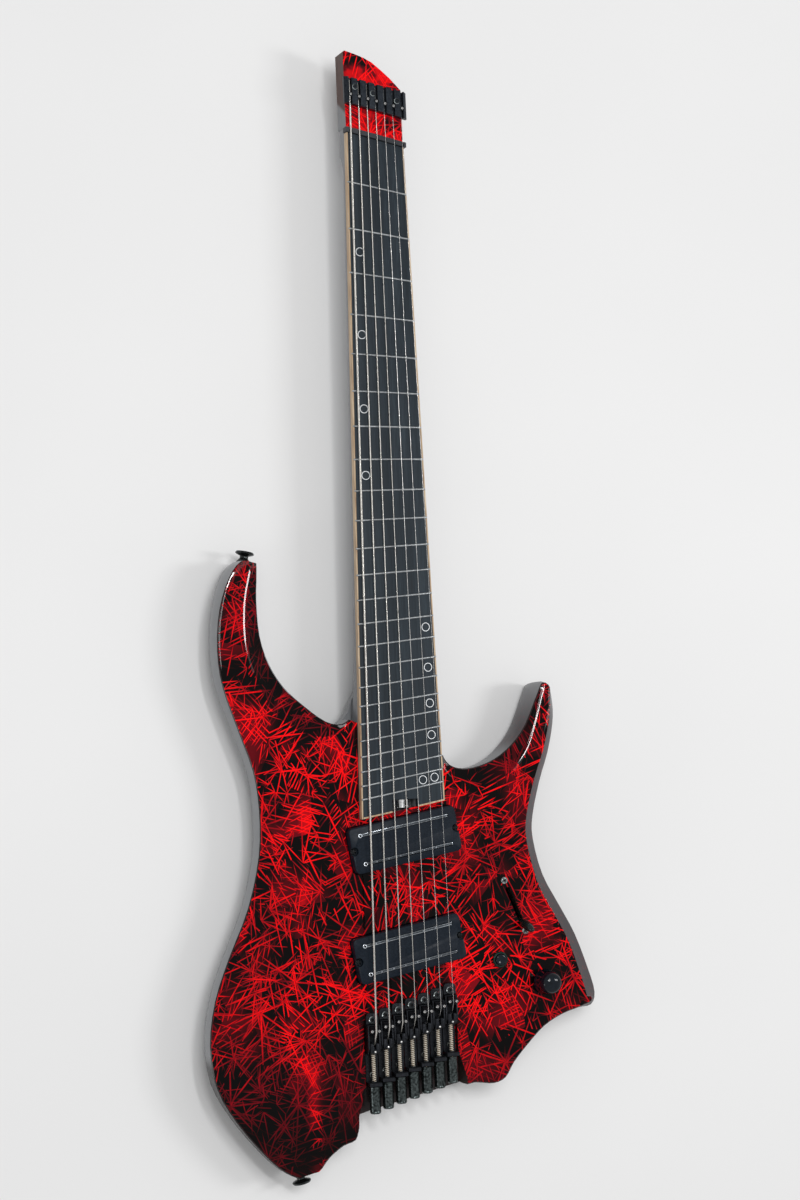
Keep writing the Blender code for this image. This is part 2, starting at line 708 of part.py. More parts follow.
def make_neck():
    tail_y = min(board_end_y(side * board_half(board_end_y(0))) for side in (-1, 1)) - 4 * MM
    head_y = nut_y(0) + HEAD_LENGTH * HEAD_WAIST
    stations = [
        (tail_y, HEEL_DEPTH, 14), (HEEL_START_Y - HEEL_BLEND, HEEL_DEPTH, 14),
        (HEEL_START_Y, HEEL_DEPTH, 5),
        (HEEL_START_Y + HEEL_BLEND, NECK_DEPTH_BODY, 2.4), (fret_y(12, 0), NECK_DEPTH_BODY - 0.5 * MM, 2.3),
        (fret_y(5, 0), (NECK_DEPTH_BODY + NECK_DEPTH_NUT) / 2 - 0.4 * MM, 2.25),
        (nut_y(0) - VOLUTE_START, NECK_DEPTH_NUT, 2.2), (volute_y(0.4), NECK_DEPTH_NUT, 2.8),
        (volute_y(0.75), NECK_DEPTH_NUT, 5), (volute_y(1), NECK_DEPTH_NUT - 0.3 * MM, 12),
        (head_y, NECK_DEPTH_NUT - 2 * MM, 12),
    ]
    rings = [neck_section(y, board_half(y) - 0.1 * MM, depth, square) for y, depth, square in stations]
    neck = finish("neck", loft(rings), "neck_lacquer", smooth_degrees=35)
    head = prism(head_outline(), HEAD_FACE - HEAD_THICKNESS, HEAD_FACE)
    combine(neck, finish("head_block", head, None), "UNION")
    wide = BOARD_WIDTH_LAST
    trim = [(x, board_end_y(x) + along) for x, along in rectangle(-wide, -wide / 2, wide, 0)]
    combine(neck, finish("neck_end_cutter", prism(trim, 0, BOARD_TOP + CUT_REACH), None))
    combine(neck, wheel_notch("neck_notch_cutter"))
    reach = WHEEL_SHAFT_LENGTH + 4 * MM
    bore = turned([(0, 0), (WHEEL_SHAFT + GAP, 0), (WHEEL_SHAFT + GAP, reach), (0, reach)], 16)
    start = Matrix.Translation((TRUSS_X, board_end_y(0) + NOTCH_DEPTH - MM, wheel_z())) @ turned_about_y()
    combine(neck, finish("truss_bore_cutter", bore, None, start))


def board_side_profile(side):
    x_nut, y_nut = edge_point(nut_y, side)
    x_tail, y_tail = edge_point(board_end_y, side)
    profile = [(x_nut, y_nut, BOARD_UNDER), (x_nut, y_nut, BOARD_TOP)]
    half_fret = FRET_WIDTH / 2
    lifts = [(half_fret, 0), (half_fret * 0.5, 0.85), (-half_fret * 0.5, 0.85), (-half_fret, 0)]
    for fret in range(1, FRET_COUNT + 1):
        for offset, share in lifts:
            x, y = edge_point(lambda at, n=fret, o=offset: fret_y(n, at) + o, side)
            profile.append((x, y, BOARD_TOP + FRET_HEIGHT * share))
    profile += [(x_tail, y_tail, BOARD_TOP), (x_tail, y_tail, BOARD_UNDER)]
    return profile


def make_fretboard():
    bass = board_side_profile(-1)
    treble = board_side_profile(1)
    rings = []
    for share in (0, 0.25, 0.5, 0.75, 1):
        ring = []
        for left, right in zip(bass, treble):
            x = left[0] + (right[0] - left[0]) * share
            y = left[1] + (right[1] - left[1]) * share
            lift = camber(x) if left[2] > BOARD_UNDER else 0
            ring.append((x, y, left[2] + lift))
        rings.append(ring)
    board = finish("fretboard", loft(rings), "ebony")
    combine(board, wheel_notch("board_notch_cutter"))


def make_nut():
    bass = board_half(nut_y(0)) + NUT_OVERHANG
    treble = board_half(nut_y(0)) + NUT_TREBLE_OVERHANG
    floor = BOARD_UNDER
    top = [(treble, floor), (treble, nut_floor(0) + NUT_COVER - 0.4 * MM)]
    for index in reversed(range(STRING_COUNT)):
        x = nut_point(index)[0]
        radius = string_radius(index) + GAP
        crown = nut_floor(index) + NUT_COVER
        top += [(x + radius, crown), (x + radius, nut_floor(index) - GAP)]
        top += [(x - radius, nut_floor(index) - GAP), (x - radius, crown)]
    top += [(-bass, nut_floor(0) + NUT_COVER - 0.4 * MM), (-bass, floor)]
    rings = []
    for offset in (GAP, NUT_DEPTH):
        rings.append([(x, nut_y(x) + offset, z) for x, z in top])
    finish("nut", loft(rings), "dark_bone")


# String lock


def lock_x(index, distance):
    x = string_x(index, nut_y(0) + distance)
    return string_x(index, nut_y(x) + distance)


def clamp_point(index):
    x = lock_x(index, LOCK_DISTANCE + CLAMP_DISTANCE)
    return x, nut_y(x) + LOCK_DISTANCE + CLAMP_DISTANCE


def slanted(outline, distance):
    return [(x, nut_y(x) + distance + along) for x, along in outline]


def make_string_lock():
    top = LOCK_BASE + LOCK_HEIGHT
    shoulder = top - LOCK_CHAMFER
    bass = -LOCK_BASS_SIDE
    treble = LOCK_TREBLE_SIDE
    section = [
        (bass, LOCK_BASE), (treble, LOCK_BASE), (treble, shoulder),
        (treble - LOCK_CHAMFER, top), (bass + LOCK_CHAMFER, top), (bass, shoulder),
    ]
    rings = []
    for distance in (LOCK_DISTANCE, LOCK_DISTANCE + LOCK_LENGTH):
        rings.append([(x, nut_y(x) + distance, z) for x, z in section])
    lock = finish("string_lock", loft(rings), "black_metal")
    floor = LOCK_BASE + LOCK_FLOOR
    slot_half = string_radius(0) + GAP
    clamp_low = floor + 2 * slot_half
    for index in range(STRING_COUNT):
        number = index + 1
        x, y = clamp_point(index)
        sides = rectangle(x - slot_half, -CUT_REACH, x + slot_half, LOCK_LENGTH + CUT_REACH)
        slot = prism(slanted(sides, LOCK_DISTANCE), floor, top + CUT_REACH)
        combine(lock, finish(f"lock_slot_cutter_{number}", slot, None))
        bore = CLAMP_RADIUS + GAP
        combine(lock, drill(f"clamp_drill_{number}", (x, y), bore, clamp_low - GAP, top + CUT_REACH, 16))
        screw = turned([
            (0, clamp_low), (CLAMP_RADIUS, clamp_low), (CLAMP_RADIUS, top - GAP), (CLAMP_RADIUS * 0.6, top),
            (CLAMP_RADIUS * 0.55, top - GAP * 2), (0, top - GAP * 2),
        ], 16)
        finish(f"string_clamp_{number}", screw, "black_metal", Matrix.Translation((x, y, 0)), 35)


# Strings


def make_string(index):
    radius = string_radius(index)
    x_saddle, y_saddle = saddle_point(index)
    x_nut, y_nut = nut_point(index)
    lock_end = LOCK_DISTANCE + LOCK_LENGTH - STRING_TAIL
    x_lock = clamp_point(index)[0]
    z_lock = LOCK_BASE + LOCK_FLOOR + GAP + radius
    anchor = CARRIAGE_START + CARRIAGE_TRAVEL + 0.2 * MM
    route = [
        (x_lock, nut_y(x_lock) + lock_end, z_lock),
        (x_lock, nut_y(x_lock) + LOCK_DISTANCE - MM, z_lock),
        (x_nut, y_nut, nut_floor(index) + radius),
        (x_saddle, y_saddle, saddle_top(index) + radius),
        (x_saddle, y_saddle - anchor, ROD_Z + ANCHOR_RISE),
    ]
    curve = bpy.data.curves.new(f"string_{index + 1}", "CURVE")
    curve.dimensions = "3D"
    curve.bevel_depth = radius
    curve.bevel_resolution = 1
    curve.use_fill_caps = True
    line = curve.splines.new("POLY")
    line.points.add(len(route) - 1)
    for point, place in zip(line.points, route):
        point.co = (*place, 1)
    curve.materials.append(material("string_steel"))
    string = bpy.data.objects.new(f"string_{index + 1}", curve)
    bpy.context.collection.objects.link(string)


# Bridge units


def unit_side(profile, width, name, material_name, index):
    x, y = saddle_point(index)
    rings = [[(x + side * width / 2, y - along, z) for along, z in profile] for side in (-1, 1)]
    return finish(name, loft(rings), material_name)


def unit_box(index, half, start, end, low, high, name):
    x, y = saddle_point(index)
    return finish(name, box((x - half, y - end, low), (x + half, y - start, high)), None)


def rod_hole(index, radius, start, end, name):
    x, y = saddle_point(index)
    profile = [(0, 0), (radius, 0), (radius, end - start), (0, end - start)]
    place = Matrix.Translation((x, y - start, ROD_Z)) @ turned_about_y(-1)
    return finish(name, turned(profile, 12), None, place)


def tongue_corner(index, side):
    x, y = saddle_point(index)
    reach = TONGUE_CORNER
    outline = [
        (reach + MM, MM), (-reach, MM), (-reach, 0), (-reach * 0.3, -reach * 0.3), (0, -reach),
        (reach + MM, -reach),
    ]
    place = Matrix.Translation((x + side * UNIT_WIDTH / 2, y - TONGUE_START, 0))
    if side < 0:
        outline = [(-across, ahead) for across, ahead in reversed(outline)]
    low = BODY_TOP - MM
    corner = prism(outline, low, low + TONGUE_THICKNESS + 3 * MM)
    return finish(f"tongue_corner_cutter_{index + 1}_{side + 2}", corner, None, place)


def make_unit_base(index):
    seat = BODY_TOP + GAP
    tongue_top = seat + TONGUE_THICKNESS
    floor = UNIT_BASE + UNIT_FLOOR
    top = UNIT_BASE + UNIT_HEIGHT
    bearing_top = ROD_Z + KNOB_RADIUS
    profile = [
        (TONGUE_START, seat), (TONGUE_START, tongue_top - 0.6 * MM), (TONGUE_START + 0.6 * MM, tongue_top),
        (BLOCK_START - 2 * MM, tongue_top), (BLOCK_START - 1.2 * MM, top - 0.8 * MM), (BLOCK_START, top),
        (BLOCK_END - 4 * MM, top), (BLOCK_END, top - 3 * MM), (BLOCK_END, floor), (BEARING_START, floor),
        (BEARING_START, bearing_top - 0.8 * MM), (BEARING_START + 0.8 * MM, bearing_top),
        (BEARING_END, bearing_top), (BEARING_END, UNIT_BASE), (BLOCK_START, UNIT_BASE), (BLOCK_START, seat),
    ]
    number = index + 1
    base = unit_side(profile, UNIT_WIDTH, f"bridge_base_{number}", "black_metal", index)
    half = UNIT_INNER / 2
    start = SADDLE_FRONT - GAP
    over = top + CUT_REACH
    bore = ROD_RADIUS + RUNNING
    channel = unit_box(index, half, BLOCK_START, BLOCK_END + MM, floor, over, f"channel_cutter_{number}")
    bay = unit_box(index, half, start, 0, tongue_top, over, f"saddle_bay_cutter_{number}")
    hole = rod_hole(index, bore, BEARING_START - MM, BEARING_END + MM, f"rod_hole_cutter_{number}")
    for cutter in (channel, bay, hole, tongue_corner(index, -1), tongue_corner(index, 1)):
        combine(base, cutter)


def make_saddle(index):
    crown = saddle_top(index) - GAP
    floor = BODY_TOP + GAP + TONGUE_THICKNESS + GAP
    profile = [
        (SADDLE_FRONT, floor), (SADDLE_FRONT, crown - 3.2 * MM), (-1.9 * MM, crown - 0.3 * MM),
        (-0.9 * MM, crown), (-0.5 * MM, crown - 0.1 * MM), (SADDLE_BACK, crown - 4.2 * MM),
        (SADDLE_BACK, floor),
    ]
    unit_side(profile, UNIT_INNER - 2 * GAP, f"saddle_{index + 1}", "black_metal", index)


def make_carriage(index):
    number = index + 1
    low = UNIT_BASE + UNIT_FLOOR + GAP
    high = ROD_Z + CARRIAGE_RISE
    end = CARRIAGE_START + CARRIAGE_LENGTH
    profile = [
        (CARRIAGE_START, low), (CARRIAGE_START, high - 0.6 * MM), (CARRIAGE_START + 0.6 * MM, high),
        (end - 1.5 * MM, high), (end, high - 1.5 * MM), (end, low),
    ]
    carriage = unit_side(profile, UNIT_INNER - 2 * GAP, f"carriage_{number}", "rod_steel", index)
    slot_end = CARRIAGE_START + 2 * CARRIAGE_TRAVEL + MM
    slot_half = string_radius(0) + GAP
    slot_floor = ROD_Z + ANCHOR_RISE - 2.2 * string_radius(0)
    slot = unit_box(index, slot_half, 0, slot_end, slot_floor, high + MM, f"string_slot_cutter_{number}")
    combine(carriage, slot)
    combine(carriage, rod_hole(index, ROD_RADIUS, end - 2 * MM, ROD_END, f"rod_{number}"), "UNION")


def make_tuner_knob(index):
    x, y = saddle_point(index)
    bore = ROD_RADIUS + RUNNING
    outer = [(0.93, 0), (1, 0.6 * MM), (1, KNOB_LENGTH - 1.2 * MM), (0.8, KNOB_LENGTH)]
    count = KNOB_FLUTES * 2
    rings = []
    for share, height in outer:
        ring = []
        for step in range(count):
            angle = math.tau * step / count
            radius = KNOB_RADIUS * share * (1 if step % 2 else 0.93)
            ring.append((radius * math.cos(angle), radius * math.sin(angle), height))
        rings.append(ring)
    place = Matrix.Translation((x, y - BEARING_END - GAP, ROD_Z)) @ turned_about_y(-1)
    knob = finish(f"tuner_knob_{index + 1}", loft(rings), "black_metal", place)
    bore_cut = turned([(0, -MM), (bore, -MM), (bore, KNOB_BORE_DEPTH), (0, KNOB_BORE_DEPTH)], 12)
    combine(knob, finish(f"knob_bore_cutter_{index + 1}", bore_cut, None, place))


# Pickups


def make_pickup(name):
    place = pickup_place(name)
    top = BODY_TOP + PICKUP_PROUD
    cover = prism(rounded_rectangle(PICKUP_LENGTH, PICKUP_WIDTH, PICKUP_CORNER), top - PICKUP_HEIGHT, top)
    bevel_sharp(cover, 0.8 * MM, 2, least_degrees=60, height=top - PICKUP_HEIGHT / 2)
    pickup = finish(f"{name}_pickup", cover, "black_polymer", place, 35)
    for number, side in enumerate((-1, 1)):
        low = (-BLADE_LENGTH / 2, side * BLADE_OFFSET - BLADE_WIDTH / 2, top - 2 * MM)
        high = (BLADE_LENGTH / 2, side * BLADE_OFFSET + BLADE_WIDTH / 2, top + BLADE_HEIGHT)
        combine(pickup, finish(f"{name}_blade_{number + 1}", box(low, high), None, place), "UNION")
    for number, side in enumerate((-1, 1)):
        at = Matrix.Translation((side * (PICKUP_LENGTH / 2 - PICKUP_NOTCH_INSET), 0, 0))
        low = top - PICKUP_NOTCH
        notch = turned([(0, low), (PICKUP_NOTCH, low), (PICKUP_NOTCH, top + MM), (0, top + MM)], 20)
        combine(pickup, finish(f"{name}_notch_cutter_{number + 1}", notch, None, place @ at))


# Controls


def make_volume():
    roof = CAVITY_ROOF - GAP
    shaft_top = BODY_TOP + SHAFT_HEIGHT
    pot = turned([
        (0, roof - POT_HEIGHT), (POT_RADIUS, roof - POT_HEIGHT), (POT_RADIUS, roof), (BUSH_RADIUS, roof),
        (BUSH_RADIUS, BODY_TOP), (SHAFT_RADIUS, BODY_TOP), (SHAFT_RADIUS, shaft_top), (0, shaft_top),
    ], 24)
    place = Matrix.Translation((*VOLUME_AT, 0))
    finish("volume_pot", pot, "plated_steel", place, 35)
    bore = SHAFT_RADIUS + GAP
    low = 0.6 * MM
    high = VOLUME_HEIGHT
    bore_top = SHAFT_HEIGHT + GAP
    knob = turned([
        (bore, low), (VOLUME_RADIUS - 0.5 * MM, low), (VOLUME_RADIUS, low + 0.8 * MM),
        (VOLUME_RADIUS * 0.96, high * 0.35), (VOLUME_TOP_RADIUS * 1.12, high * 0.8),
        (VOLUME_TOP_RADIUS, high - 0.8 * MM), (VOLUME_TOP_RADIUS - 0.8 * MM, high), (0, high),
    ], 32)
    cap_edges = [edge for edge in knob.edges if edge.is_boundary]
    down = bmesh.ops.extrude_edge_only(knob, edges=cap_edges)
    risen = [item for item in down["geom"] if isinstance(item, bmesh.types.BMVert)]
    bmesh.ops.translate(knob, verts=risen, vec=(0, 0, bore_top - low))
    bmesh.ops.holes_fill(knob, edges=[edge for edge in knob.edges if edge.is_boundary], sides=0)
    finish("volume_knob", knob, "gloss_black", Matrix.Translation((*VOLUME_AT, BODY_TOP)), 35)


def make_button():
    well = BUTTON_RADIUS + GAP
    well_floor = BODY_TOP + BUTTON_PROUD - BUTTON_LENGTH - BUTTON_TRAVEL - GAP
    low = BODY_TOP - HOUSING_LENGTH
    flange = BODY_TOP + GAP
    housing = turned([
        (0, low), (HOUSING_RADIUS, low), (HOUSING_RADIUS, flange), (BEZEL_RADIUS, flange),
        (BEZEL_RADIUS, flange + BEZEL_HEIGHT - 0.6 * MM), (BEZEL_RADIUS - 0.6 * MM, flange + BEZEL_HEIGHT),
        (well, flange + BEZEL_HEIGHT), (well, well_floor), (0, well_floor),
    ], 24)
    finish("button_housing", housing, "plated_steel", Matrix.Translation((*BUTTON_AT, 0)), 35)
    cap = turned([
        (0, -BUTTON_LENGTH), (BUTTON_RADIUS, -BUTTON_LENGTH), (BUTTON_RADIUS, -0.7 * MM),
        (BUTTON_RADIUS - 0.7 * MM, 0), (0, 0),
    ], 20)
    finish("push_button", cap, "gloss_black", Matrix.Translation((*BUTTON_AT, BODY_TOP + BUTTON_PROUD)), 35)


def pivot_depth():
    return SWITCH_DEPTH - PIVOT_RISE


def lever_tip_start():
    return (pivot_depth() + TOP_WALL) / math.cos(math.radians(SWITCH_SWING)) + LEVER_CLEAR


def make_switch():
    place = switch_place()
    half = SWITCH_LENGTH / 2
    across = SWITCH_WIDTH / 2
    plate = prism(rounded_rectangle(SWITCH_LENGTH, SWITCH_WIDTH, 3 * MM), -GAP - SWITCH_PLATE, -GAP)
    switch = finish("pickup_switch", plate, "plated_steel", place)
    low = (-half * 0.72, -across * 0.8, -SWITCH_DEPTH)
    high = (half * 0.72, across * 0.8, -GAP - SWITCH_PLATE / 2)
    combine(switch, finish("switch_block", box(low, high), None, place), "UNION")
    low = (-SLOT_LENGTH / 2, -SLOT_WIDTH / 2, -SWITCH_DEPTH + 2 * MM)
    high = (SLOT_LENGTH / 2, SLOT_WIDTH / 2, MM)
    combine(switch, finish("switch_slot_cutter", box(low, high), None, place))
    tip_start = lever_tip_start()
    low = (-LEVER_WIDTH / 2, -LEVER_THICKNESS / 2, -2 * MM)
    high = (LEVER_WIDTH / 2, LEVER_THICKNESS / 2, tip_start + LEVER_TIP_LENGTH / 2)
    swing = Matrix.Rotation(math.radians(SWITCH_SWING), 4, "Y")
    pivot = place @ Matrix.Translation((0, 0, -pivot_depth())) @ swing
    lever = finish("switch_lever", box(low, high), "plated_steel", pivot)
    widths = [(0, 0), (0.62, 0), (0.9, 0.22), (1, 0.45), (0.9, 0.68), (0.6, 0.88), (0.3, 0.98), (0, 1)]
    profile = [(LEVER_TIP_RADIUS * share, tip_start + LEVER_TIP_LENGTH * rise) for share, rise in widths]
    combine(lever, finish("lever_tip", turned(profile, 14), None, pivot), "UNION")


def make_cover():
    cover = prism(cavity_outline(COVER_LEDGE - GAP), GAP, GAP + COVER_THICKNESS)
    finish("control_cover", cover, "cover_polymer")


# Small hardware


def jack_place():
    return Matrix.Translation((JACK_X, JACK_FACE_Y, JACK_Z)) @ turned_about_y(-1)


def jack_cutter():
    barrel = JACK_RADIUS + GAP
    flange = JACK_FLANGE + GAP
    inside = JACK_LENGTH + 3 * MM
    seat = -JACK_FLANGE_THICKNESS - GAP
    outside = 6 * CUT_REACH
    profile = [
        (0, -inside), (barrel, -inside), (barrel, seat), (flange, seat), (flange, outside), (0, outside),
    ]
    return finish("jack_cutter", turned(profile, 28), None, jack_place())


def make_jack():
    under = -JACK_FLANGE_THICKNESS
    bottom = -JACK_LENGTH
    jack = turned([
        (JACK_BORE, 0), (JACK_FLANGE - 0.6 * MM, 0), (JACK_FLANGE, -0.6 * MM), (JACK_FLANGE, under),
        (JACK_RADIUS, under), (JACK_RADIUS, bottom), (0, bottom), (0, bottom + 2 * MM),
        (JACK_BORE, bottom + 2 * MM), (JACK_BORE, 0),
    ], 28)
    finish("output_jack", jack, "plated_steel", jack_place(), 35)


def strap_place(at, degrees):
    turn_z = Matrix.Rotation(math.radians(degrees), 4, "Z")
    return Matrix.Translation((*at, STRAP_HEIGHT)) @ turn_z @ turned_about_y()


def strap_seat(name, at, degrees):
    reach = 3 * CUT_REACH
    return finish(name, box((-reach, -reach, 0), (reach, reach, reach)), None, strap_place(at, degrees))


def make_strap_button(name, at, degrees):
    button = turned([
        (0, GAP), (STRAP_BASE_RADIUS, GAP), (STRAP_BASE_RADIUS - 0.4 * MM, 1.6 * MM), (3.2 * MM, 4 * MM),
        (3.2 * MM, STRAP_LENGTH - 3.4 * MM), (STRAP_DISC_RADIUS - 0.8 * MM, STRAP_LENGTH - 2.2 * MM),
        (STRAP_DISC_RADIUS, STRAP_LENGTH - 1.4 * MM), (STRAP_DISC_RADIUS - 0.8 * MM, STRAP_LENGTH),
        (0, STRAP_LENGTH),
    ], 24)
    finish(name, button, "plated_steel", strap_place(at, degrees), 35)


def wheel_z():
    return BOARD_UNDER - WHEEL_SHAFT - 1.5 * MM


def wheel_notch(name):
    half = WHEEL_RADIUS + WHEEL_SIDE
    y = board_end_y(0)
    low = wheel_z() - WHEEL_RADIUS - 2 * GAP
    corners = (TRUSS_X - half, y - CUT_REACH, low), (TRUSS_X + half, y + NOTCH_DEPTH, BOARD_TOP + CUT_REACH)
    return finish(name, box(*corners), None)


def make_truss_wheel():
    profile = [
        (0, 0), (WHEEL_RADIUS - 0.5 * MM, 0), (WHEEL_RADIUS, 0.5 * MM),
        (WHEEL_RADIUS, WHEEL_LENGTH - 0.5 * MM),
        (WHEEL_RADIUS - 0.5 * MM, WHEEL_LENGTH), (WHEEL_SHAFT, WHEEL_LENGTH),
        (WHEEL_SHAFT, WHEEL_LENGTH + WHEEL_SHAFT_LENGTH), (0, WHEEL_LENGTH + WHEEL_SHAFT_LENGTH),
    ]
    start = board_end_y(0) + NOTCH_DEPTH - WHEEL_LENGTH - GAP
    place = Matrix.Translation((TRUSS_X, start, wheel_z())) @ turned_about_y()
    finish("truss_wheel", turned(profile, 24), "plated_steel", place, 35)


def main():
    clear_scene()
    make_body()
    make_neck()
    make_fretboard()
    make_nut()
    make_string_lock()
    for index in range(STRING_COUNT):
        make_string(index)
        make_unit_base(index)
        make_saddle(index)
        make_carriage(index)
        make_tuner_knob(index)
    make_pickup("neck")
    make_pickup("bridge")
    make_volume()
    make_button()
    make_switch()
    make_cover()
    make_jack()
    make_strap_button("strap_button_upper", STRAP_UPPER_AT, STRAP_UPPER_TURN)
    make_strap_button("strap_button_lower", STRAP_LOWER_AT, STRAP_LOWER_TURN)
    make_truss_wheel()


main()
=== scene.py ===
import math

import bmesh
import bpy
from mathutils import Matrix, Vector


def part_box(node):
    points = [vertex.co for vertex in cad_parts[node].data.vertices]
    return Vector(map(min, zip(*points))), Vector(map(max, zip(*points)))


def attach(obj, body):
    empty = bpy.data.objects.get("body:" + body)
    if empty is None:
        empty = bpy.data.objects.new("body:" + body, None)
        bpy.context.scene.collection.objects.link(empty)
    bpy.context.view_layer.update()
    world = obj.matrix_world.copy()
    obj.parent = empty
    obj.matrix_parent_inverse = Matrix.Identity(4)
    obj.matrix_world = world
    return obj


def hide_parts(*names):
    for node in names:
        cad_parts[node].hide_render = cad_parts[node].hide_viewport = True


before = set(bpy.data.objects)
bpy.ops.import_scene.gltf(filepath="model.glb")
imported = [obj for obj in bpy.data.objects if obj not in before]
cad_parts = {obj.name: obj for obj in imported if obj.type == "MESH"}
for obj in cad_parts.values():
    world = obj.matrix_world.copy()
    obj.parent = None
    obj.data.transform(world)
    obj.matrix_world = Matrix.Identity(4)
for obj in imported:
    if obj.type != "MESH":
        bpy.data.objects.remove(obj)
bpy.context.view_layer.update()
mm = 0.001
print("frame loaded")

# shader helpers

paint = {}


def setSockets(node, sockets):
    for key, value in sockets.items():
        if isinstance(value, bpy.types.NodeSocket):
            node.id_data.links.new(value, node.inputs[key])
        else:
            node.inputs[key].default_value = value


def link(kind, sockets, **settings):
    # the new node joins the tree that its first linked socket is in
    tree = next(value.id_data for value in sockets.values() if isinstance(value, bpy.types.NodeSocket))
    made = tree.nodes.new("ShaderNode" + kind)
    for key, value in settings.items():
        setattr(made, key, value)
    setSockets(made, sockets)
    return made


def calc(operation, *values):
    return link("Math", dict(enumerate(values)), operation=operation).outputs[0]


def times(result, *factors):
    for factor in factors:
        result = calc("MULTIPLY", result, factor)
    return result


def timesPlus(value, factor, offset):
    return calc("MULTIPLY_ADD", value, factor, offset)


def highest(result, *others):
    for other in others:
        result = calc("MAXIMUM", result, other)
    return result


def vectorCalc(operation, *values):
    return link("VectorMath", dict(enumerate(values)), operation=operation).outputs[0]


def fade(value, fromLow, fromHigh, toLow=0.0, toHigh=1.0):
    sockets = {"Value": value, "From Min": fromLow, "From Max": fromHigh, "To Min": toLow, "To Max": toHigh}
    return link("MapRange", sockets, interpolation_type="SMOOTHSTEP").outputs["Result"]


def middleFade(value, low, high):
    return fade(value, 0.3, 0.7, low, high)


def ramp(value, stops):
    made = link("ValToRGB", {"Fac": value})
    points = made.color_ramp.elements
    while len(points) < len(stops):
        points.new(0.5)
    for point, (place, color) in zip(points, stops):
        point.position = place
        point.color = (*color, 1.0)
    return made.outputs["Color"]


def twoTone(value, dark, light):
    return ramp(value, [(0.3, dark), (0.7, light)])


def blendColor(share, first, second):
    if not isinstance(second, bpy.types.NodeSocket):
        second = (*second, 1.0)
    return link("Mix", {0: share, 6: first, 7: second}, data_type="RGBA").outputs[2]


def axesOf(place):
    return link("SeparateXYZ", {"Vector": place}).outputs


def chancesOf(color):
    return link("SeparateColor", {"Color": color}).outputs


def noise(place, scale, detail=3.0, roughness=0.5):
    sockets = {"Vector": place, "Scale": scale, "Detail": detail, "Roughness": roughness}
    return link("TexNoise", sockets).outputs["Fac"]


def alongGrain(place, share):
    return link("Mapping", {"Vector": place, "Scale": (1.0, share, 1.0)}).outputs[0]


def bumpOf(height, strength, distance=0.0001):
    return link("Bump", {"Height": height, "Strength": strength, "Distance": distance}).outputs["Normal"]


def startMaterial(name):
    paint[name] = bpy.data.materials.new(name)
    paint[name].use_nodes = True
    nodes = paint[name].node_tree.nodes
    return nodes["Principled BSDF"], nodes.new("ShaderNodeTexCoord").outputs["Object"]


